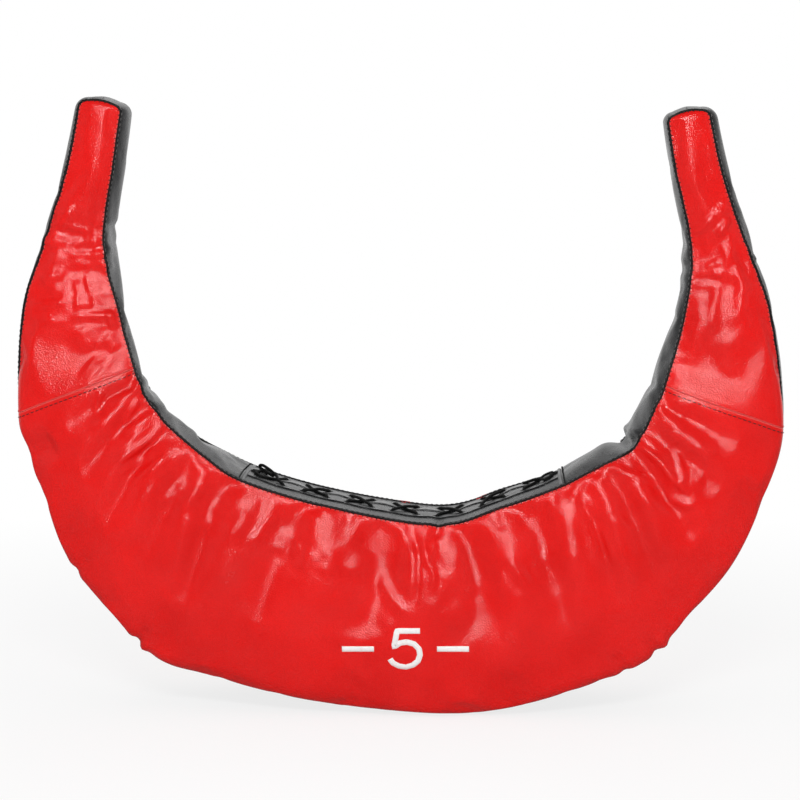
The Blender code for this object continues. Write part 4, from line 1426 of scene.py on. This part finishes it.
tongue_short = 0.003
tongue_rows = 90
tongue_columns = 12
tongue_ripple = 0.0005
tongue_waves = (140.0, 90.0)
lace_radius = 0.00100
lace_sides = 16
lace_step = 0.0005
lace_below = 0.0042
lace_in_hole = 0.0005
lace_seam_gap = 0.0015
lace_tip_share = 0.35
lower_rise = 1.2
upper_rise = 3.1
strand_lean = 0.0007
lean_turn = 2.4
braid_pitch = 0.0030
braid_strands = 4
braid_depth_share = 0.09

# A strand between its hole and the slit: the share of the way along, the share that is left of the hole's
# distance from the slit, and the height in the lace's radii
strand_foot = (0.16, 0.86, 1.25)
strand_knee = (0.55, 0.46, 1.4)

# The lace at the lacing's ends: the distance in from the end seam or out from the nearest hole, the
# distance across and the height. Heights are in the lace's radii
lace_start = [("seam", 0.0, 0.0035, 0.4), ("seam", 0.0040, 0.0040, 1.2), ("hole", 0.0030, -0.0080, 1.5)]
lace_turn = [
    ("hole", 0.0035, 0.0090, 1.4), ("seam", 0.0040, 0.0042, 1.3), ("seam", 0.0, 0.0030, 0.6),
    ("seam", 0.0, -0.0030, 0.6), ("seam", 0.0040, -0.0036, 1.3), ("hole", 0.0030, -0.0080, 1.4),
]
lace_finish = [("hole", 0.0015, 0.0085, 1.6), ("seam", 0.0040, -0.0010, 1.4), ("seam", 0.0, -0.0030, 0.4)]

# The end seams: sideways and outward distances of their welt, and their stitches
welt_profile = [
    (-0.0013, -0.0010), (-0.0014, 0.0003), (-0.0008, 0.0010), (0.0000, 0.0012),
    (0.0008, 0.0010), (0.0014, 0.0003), (0.0013, -0.0010),
]
welt_step = 0.0016
end_stitch_offset = 0.0028
end_stitch_radius = 0.00050
end_stitch_pitch = 0.0032
end_stitch_length = 0.0024
end_stitch_height = 0.00030


class Lacing:
    """Places on the inner gusset between the end seams, by the distance along and across it."""

    def __init__(self):
        self.columns = [(ring_size - turn) % ring_size for turn in range(gusset_columns + 1)]
        self.points, self.normals = row_slice(range(left_lacing_row, right_lacing_row + 1), self.columns)
        self.along = distances_along(self.points[:, gusset_columns // 2])
        self.length = self.along[-1]
        self.along -= self.length / 2
        self.pitch = (self.length / 2 - last_hole_from_end - cross_half) * 2 / (cross_count - 1)

    def cross_place(self, number):
        return (number - (cross_count - 1) / 2) * self.pitch

    def spot(self, along, across, up=0.0):
        """The place at a distance along from the middle and across from the slit, lifted by up."""
        row = np.interp(along, self.along, np.arange(len(self.along)))
        low = min(int(row), len(self.along) - 2)
        share = row - low
        depth = abs(mix(self.points[low, 0, 1], self.points[low + 1, 0, 1], share))
        column = min(max(0.5 + across / (2 * depth), 0.0), 1.0) * gusset_columns
        left = min(int(column), gusset_columns - 1)
        part = column - left

        def at(table):
            near = mix(table[low, left], table[low, left + 1], part)
            far = mix(table[low + 1, left], table[low + 1, left + 1], part)
            return mix(near, far, share)

        return at(self.points) + unit(at(self.normals)) * (up + self.sway(along, across))

    def wave(self, along):
        """1 midway between two crossings and -1 at each of them."""
        return -math.cos(2 * math.pi * (along - self.cross_place(0)) / self.pitch)

    def sway(self, along, across):
        """How the lips stand up between the crossings and are drawn down at them."""
        near_slit = 1.0 - smooth(*sway_across, abs(across))
        near_end = smooth(0.0, sway_end_reach, self.length / 2 - abs(along))
        return lip_sway * self.wave(along) * near_slit * near_end


LACING = Lacing()


def lip_line(along, face):
    """Distances across and up of a lip at one place: from the face's seam over the step of the folded hem
    to the slit's round edge."""
    seam = middle_seam_depth / 2
    lift = back_lip_lift if face > 0 else 0.0
    near_end = smooth(0.0, lip_end_reach, LACING.length / 2 - abs(along))
    edge = slit_half + slit_sway * LACING.wave(along + edge_drift * face) * near_end
    drift = math.sin(along * hem_waves + face) * hem_drift_share + LACING.wave(along + hem_drift * face)
    hem = seam - (seam - edge) * (hem_share + hem_sway_share * drift * near_end)
    line = [(mix(seam, hem + hem_width, step / lip_columns), 0.0) for step in range(lip_columns)]
    line += [(hem + hem_width * 0.5, -hem_groove), (hem, -hem_groove * 2 / 3)]
    line.append((hem - hem_width * 0.3, hem_height))
    for step in range(1, hem_columns + 1):
        share = step / hem_columns
        up = hem_height * mix(hem_fold_share, hem_top_share, share) + lift * share
        line.append((mix(hem - hem_width, edge + lip_curl, share), up))
    for turn in np.radians(lip_edge_turns):
        down = lip_curl * (1 - math.cos(turn))
        line.append((edge + lip_curl * (1 - math.sin(turn)), hem_height * hem_top_share + lift - down))
    return line


def lip_grid(face):
    places = np.linspace(-LACING.length / 2, LACING.length / 2, round(LACING.length / lip_step) + 1)
    grid = []
    for along in places:
        grid.append([LACING.spot(along, face * across, up) for across, up in lip_line(along, face)])
    return np.array(grid)


def hole_cutters():
    """Pins that punch every hole of both lips."""
    shape = bmesh.new()
    for number, side, face in itertools.product(range(cross_count), (-1, 1), (-1, 1)):
        along = LACING.cross_place(number) + side * cross_half
        low, high = (LACING.spot(along, face * hole_from_middle, up) for up in (-hole_reach, hole_reach))
        turn = Vector(high - low).to_track_quat("Z", "Y").to_matrix().to_4x4()
        place = Matrix.Translation(Vector((low + high) / 2)) @ turn
        bmesh.ops.create_cone(
            shape, cap_ends=True, segments=hole_corners, radius1=hole_radius, radius2=hole_radius,
            depth=float(np.linalg.norm(high - low)), matrix=place,
        )
    mesh = bpy.data.meshes.new("hole_cutters")
    shape.to_mesh(mesh)
    shape.free()
    return linked("hole_cutters", mesh)


def apply_modifiers(piece):
    """Gives the piece the mesh that its modifiers make."""
    made = bpy.data.meshes.new_from_object(piece.evaluated_get(bpy.context.evaluated_depsgraph_get()))
    piece.modifiers.clear()
    piece.data = made


def make_lips():
    cutters = hole_cutters()
    for face, word in ((-1, "front"), (1, "back")):
        grid = lip_grid(face)
        lip = sheet_piece(word + "_lacing_lip_leather", grid[:, ::-1] if face < 0 else grid, BLACK)
        punch = lip.modifiers.new("holes", "BOOLEAN")
        punch.operation = "DIFFERENCE"
        punch.object = cutters
        apply_modifiers(lip)
        lip.data.shade_smooth()
        lip.data.set_sharp_from_angle(angle=math.radians(lip_sharp_angle))
        declare(lip, stands_for=[word + "_lacing_lip"])
    bpy.data.objects.remove(cutters)


def make_tongue():
    half = LACING.length / 2 - tongue_short
    grid = []
    for along in np.linspace(-half, half, tongue_rows):
        line = []
        for across in np.linspace(-tongue_half, tongue_half, tongue_columns):
            ripple = tongue_ripple * math.sin(along * tongue_waves[0] + across * tongue_waves[1])
            line.append(LACING.spot(along, across, ripple - tongue_below))
        grid.append(line)
    tongue = sheet_piece("lacing_tongue_leather", np.array(grid), BLACK)
    declare(tongue, stands_for=["lacing_tongue"])


def make_end_seams():
    """The raised seam at each end of the lacing, with its stitches on the gusset's side."""
    for side, row, away in (("left", left_lacing_row, -1), ("right", right_lacing_row, 1)):
        lines = row_slice([row], LACING.columns)
        points, normals = resampled([line[0] for line in lines], welt_step)
        welt = sweep(side + "_end_welt", points, normals, welt_profile, WELT)
        declare(welt)
        beside = [row, row + away, row + 2 * away]
        line = [walked(SKIN.rows[beside, column], end_stitch_offset) for column in LACING.columns]
        outs = ROW_NORMALS[row + away, LACING.columns]
        threads = Threads(end_stitch_radius)
        stitch_row(threads, np.array(line), outs, end_stitch_pitch, end_stitch_length, end_stitch_height)
        threads.piece(side + "_end_stitches", SEAM_THREAD, "black_leather")


def curve_through(points, step):
    """A smooth curve through the points, as places about a step apart."""
    points = np.array(points)
    padded = np.concatenate([[2 * points[0] - points[1]], points, [2 * points[-1] - points[-2]]])
    made = [points[0]]
    for number in range(len(points) - 1):
        before, start, end, after = padded[number : number + 4]
        count = max(2, round(np.linalg.norm(end - start) / step))
        bend = 2 * before - 5 * start + 4 * end - after
        curl = 3 * start - before - 3 * end + after
        for share in np.arange(1, count + 1) / count:
            made.append(0.5 * (2 * start + (end - before) * share + bend * share**2 + curl * share**3))
    return np.array(made)


def crossing(number, face, forward, is_upper):
    """One strand of a crossing: up out of a hole, over the slit and down into the hole across it. Places
    are along, across and up."""
    middle = LACING.cross_place(number)
    way = 1 if forward else -1
    rise = lace_radius * (upper_rise if is_upper else lower_rise)
    lean = strand_lean * math.sin(number * lean_turn + way)
    halves = []
    for end, side in ((middle - way * cross_half, face), (middle + way * cross_half, -face)):
        across = side * hole_from_middle
        foot, foot_across, foot_radii = strand_foot
        knee, knee_across, knee_radii = strand_knee
        halves.append([
            (end, across, -lace_below),
            (end, across, -lace_in_hole),
            (mix(end, middle, foot), across * foot_across, lace_radius * foot_radii),
            (mix(end, middle, knee) + lean, across * knee_across, mix(lace_radius * knee_radii, rise, knee)),
        ])
    return [*halves[0], (middle + lean, 0.0, rise), *reversed(halves[1])]


def slack_loop():
    """The long narrow loop that stands up out of the first crossing."""
    middle = LACING.cross_place(0)
    return [(middle + share * cross_half, across, up) for share, across, up in loop_shares]


def end_places(table, side):
    """The lace's places at the left end (side -1) or the right one (side 1) of the lacing."""
    seam = LACING.length / 2 - lace_seam_gap
    hole = LACING.cross_place(cross_count - 1) + cross_half
    places = []
    for origin, distance, across, radii in table:
        along = seam - distance if origin == "seam" else hole + distance
        places.append((side * along, across, lace_radius * radii))
    return places


def lace_route():
    """From the left end seam to the right one as the lower strands, and back as the upper ones."""
    route = end_places(lace_start, -1)
    face = -1
    for number in range(cross_count):
        strand = crossing(number, face, True, False)
        route += strand[2:] if number == 0 else strand
        face = -face
    route = route[:-2] + end_places(lace_turn, 1)
    face = -face
    for number in reversed(range(cross_count)):
        strand = crossing(number, face, False, True)
        if number == cross_count - 1:
            strand = strand[2:]
        if number == 0:
            strand = [*strand[:4], *slack_loop(), *strand[5:-2]]
        route += strand
        face = -face
    route += end_places(lace_finish, -1)
    return [LACING.spot(*place) for place in route]


def make_lace():
    path = curve_through(lace_route(), lace_step)
    ways = units(np.gradient(path, axis=0))
    side = unit(np.cross(ways[0], (0.0, 0.0, 1.0)))
    places, weave = [], []
    for number, (point, way, distance) in enumerate(zip(path, ways, distances_along(path))):
        side = unit(side - way * (side @ way))
        up = np.cross(way, side)
        tip = lace_tip_share if number in (0, len(path) - 1) else 1.0
        turn = 2 * math.pi * distance / braid_pitch
        for corner in range(lace_sides):
            angle = 2 * math.pi * corner / lace_sides
            height = max(math.sin(turn + braid_strands * angle), math.sin(turn - braid_strands * angle))
            radius = lace_radius * tip * (1 + braid_depth_share * (height - 0.5))
            places.append(point + (side * math.cos(angle) + up * math.sin(angle)) * radius)
            weave.append(height)
    lace = mesh_object("laced_cord", places, tube_faces(len(path), lace_sides), LACE)
    facing_out(lace)
    add_attribute(lace.data, "weave", "FLOAT", weave)
    declare(lace, stands_for=["lace"])


make_lips()
make_tongue()
make_end_seams()
make_lace()


# Topstitching beside the seams between the panels

topstitch_offset = 0.0030
topstitch_pitch = 0.0034
topstitch_length = 0.0026
topstitch_radius = 0.00030
topstitch_height = 0.00012


def make_topstitching():
    for face, word in ((-1, "front"), (1, "back")):
        first = 0 if face < 0 else back_outer
        columns = range(first, first + panel_columns + 1)
        for side, row, inward in (("left", left_horn_row, 1), ("right", right_horn_row, -1)):
            beside = row + inward * np.arange(4)
            line = [walked(SKIN.rows[beside, column], topstitch_offset) for column in columns]
            outs = ROW_NORMALS[row + inward, columns]
            threads = Threads(topstitch_radius)
            stitch_row(threads, np.array(line), outs, topstitch_pitch, topstitch_length, topstitch_height)
            threads.piece(f"{word}_{side}_topstitching", RED_THREAD, "red_leather")


make_topstitching()


# The print: a plain numeral between two bars, where the bag's weight is marked

print_height = 0.0002
print_pixels = {
    "five": [
        (420, 631), (397, 631), (394, 647), (400, 643), (407, 642), (414, 644), (419, 649), (420, 655),
        (418, 661), (413, 665), (406, 667), (399, 666), (393, 663), (390, 659),
    ],
    "left_bar": [(342, 649), (374, 649)],
    "right_bar": [(437, 649), (469, 649)],
}
print_half = 0.0018
print_step_pixels = 1.5
print_thickness = 0.0003

# A stroke's profile: sideways and outward distances
print_profile = [
    (-print_half - 0.0001, -0.0006), (-print_half, print_height), (0.0, print_height),
    (print_half, print_height), (print_half + 0.0001, -0.0006),
]


def front_surface():
    """The front main panel's surface, for laying things on it."""
    grid = SKIN.rows[left_horn_row : right_horn_row + 1, : panel_columns + 1]
    return BVHTree.FromPolygons(grid.reshape(-1, 3).tolist(), grid_faces(*grid.shape[:2]))


def pixel_spot(surface, pixel):
    """Where the photograph's view meets the surface at a pixel, and the outward direction there."""
    across = (pixel[0] - image_size / 2) / VIEW.pixels
    up = (image_size / 2 - pixel[1]) / VIEW.pixels
    way = unit(VIEW.right * across + VIEW.up * up - VIEW.back)
    spot, normal, _, _ = surface.ray_cast(Vector(VIEW.place), Vector(way))
    normal = np.array(normal)
    return np.array(spot), normal if normal @ VIEW.back > 0 else -normal


def stroke_points(pixels):
    """A stroke's pixels a small step apart, with its corners kept."""
    pixels = np.array(pixels, float)
    path = [pixels[0]]
    for start, end in zip(pixels, pixels[1:]):
        count = max(1, round(np.linalg.norm(end - start) / print_step_pixels))
        path += [mix(start, end, step / count) for step in range(1, count + 1)]
    return path


def make_print():
    surface = front_surface()
    points, faces = [], []
    for pixels in print_pixels.values():
        spots, normals = zip(*(pixel_spot(surface, pixel) for pixel in stroke_points(pixels)))
        faces += grid_faces(len(spots), len(print_profile), start=len(points))
        for number, (spot, normal) in enumerate(zip(spots, normals)):
            ahead = spots[min(number + 1, len(spots) - 1)]
            side = unit(np.cross(unit(ahead - spots[max(number - 1, 0)]), normal))
            for across, up in print_profile:
                foot = surface.find_nearest(Vector(spot + side * across))[0]
                points.append(np.array(foot) + normal * up)
    ink = mesh_object("front_print", points, faces, PRINT)
    solid = ink.modifiers.new("thickness", "SOLIDIFY")
    solid.thickness = print_thickness
    declare(ink)


make_print()


# Studio

def make_world():
    """White behind the object, an even light all round, and reflections that are darker toward the front."""
    world = bpy.data.worlds.new("studio")
    world.use_nodes = True
    bpy.context.scene.world = world
    world.node_tree.nodes.clear()
    sky = Nodes(world.node_tree)
    path = sky.node("ShaderNodeLightPath")
    place = sky.node("ShaderNodeTexCoord")["Generated"]
    along = sky.node("ShaderNodeSeparateXYZ", {0: place})
    front = sky.range(along[1], *world_front_reach, world_front_gloss, world_back_gloss)
    above = sky.range(along[2], *world_top_reach, 1.0, world_top_gloss)
    gloss = sky.math("MULTIPLY", front, above)
    around = sky.node("ShaderNodeMix", {0: path["Is Glossy Ray"], 2: world_light, 3: gloss})[0]
    seen = sky.math("MAXIMUM", path["Is Camera Ray"], path["Is Transmission Ray"])
    level = sky.node("ShaderNodeMix", {0: seen, 2: around, 3: 1.0})[0]
    shine = sky.node("ShaderNodeBackground", {"Color": white, "Strength": level})[0]
    sky.node("ShaderNodeOutputWorld", {"Surface": shine})


def make_floor():
    """A pale floor that keeps the shadow near the object and runs into the white behind."""
    bpy.ops.mesh.primitive_circle_add(
        vertices=floor_corners, radius=floor_radius, fill_type="NGON", location=(0, 0, floor_level)
    )
    floor = bpy.context.object
    floor.name = "floor"
    paint = Paint("floor_look", floor_colour, floor_roughness, floor_specular)
    path = paint.node("ShaderNodeLightPath")
    place = paint.node("ShaderNodeTexCoord")["Object"]
    away = paint.node("ShaderNodeVectorMath", {0: place}, operation="LENGTH")["Value"]
    fade = paint.range(away, *floor_fade_reach, floor_glow, 1.0)
    fade = paint.math("MAXIMUM", fade, path["Is Glossy Ray"])
    seen = paint.math("MAXIMUM", path["Is Camera Ray"], path["Is Glossy Ray"])
    back = paint.node("ShaderNodeSeparateXYZ", {0: place})["Y"]
    reflected = paint.range(back, *floor_gloss_reach, floor_front_gloss, floor_back_gloss)
    strength = paint.math("MAXIMUM", reflected, path["Is Camera Ray"])
    glow = paint.node("ShaderNodeEmission", {"Color": white, "Strength": strength})[0]
    share = paint.math("MULTIPLY", fade, seen)
    mixed = paint.node("ShaderNodeMixShader", {0: share, 1: paint.surface, 2: glow})[0]
    paint.put(paint.tree.nodes["Material Output"].inputs["Surface"], mixed)
    floor.data.materials.append(paint.material)


def softbox(name, place, size, power):
    data = bpy.data.lights.new(name, "AREA")
    data.shape = "RECTANGLE"
    data.size, data.size_y = size
    data.energy = power
    lamp = linked(name, data)
    lamp.location = place
    lamp.rotation_euler = (light_aim - Vector(place)).to_track_quat("-Z", "Y").to_euler()


white = (1.0, 1.0, 1.0, 1.0)
world_light = 0.61
world_front_gloss = 0.02
world_back_gloss = 0.95
world_front_reach = (0.10, 0.95)
world_top_gloss = 0.50
world_top_reach = (0.10, 0.55)
floor_colour = (0.90, 0.90, 0.90)
floor_roughness = 0.75
floor_specular = 0.15
floor_corners = 96
floor_radius = 4.0
floor_level = -0.0004
floor_fade_reach = (0.34, 0.75)
floor_glow = 0.80
floor_front_gloss = 0.12
floor_back_gloss = 0.95
floor_gloss_reach = (0.30, 1.40)
light_aim = Vector((0.0, 0.0, 0.20))

# Each light's place, size and power
lights = {
    "key_light": ((0.00, -1.25, 0.87), (0.50, 0.14), 10.0),
    "left_light": ((-1.50, -0.45, 0.75), (0.60, 1.10), 0.8),
    "right_light": ((1.50, -0.45, 0.75), (0.60, 1.10), 0.8),
    "back_light": ((0.20, 1.40, 1.40), (1.20, 0.80), 3.5),
}

make_world()
make_floor()
for name, light in lights.items():
    softbox(name, *light)
bpy.context.scene.view_settings.view_transform = "Standard"
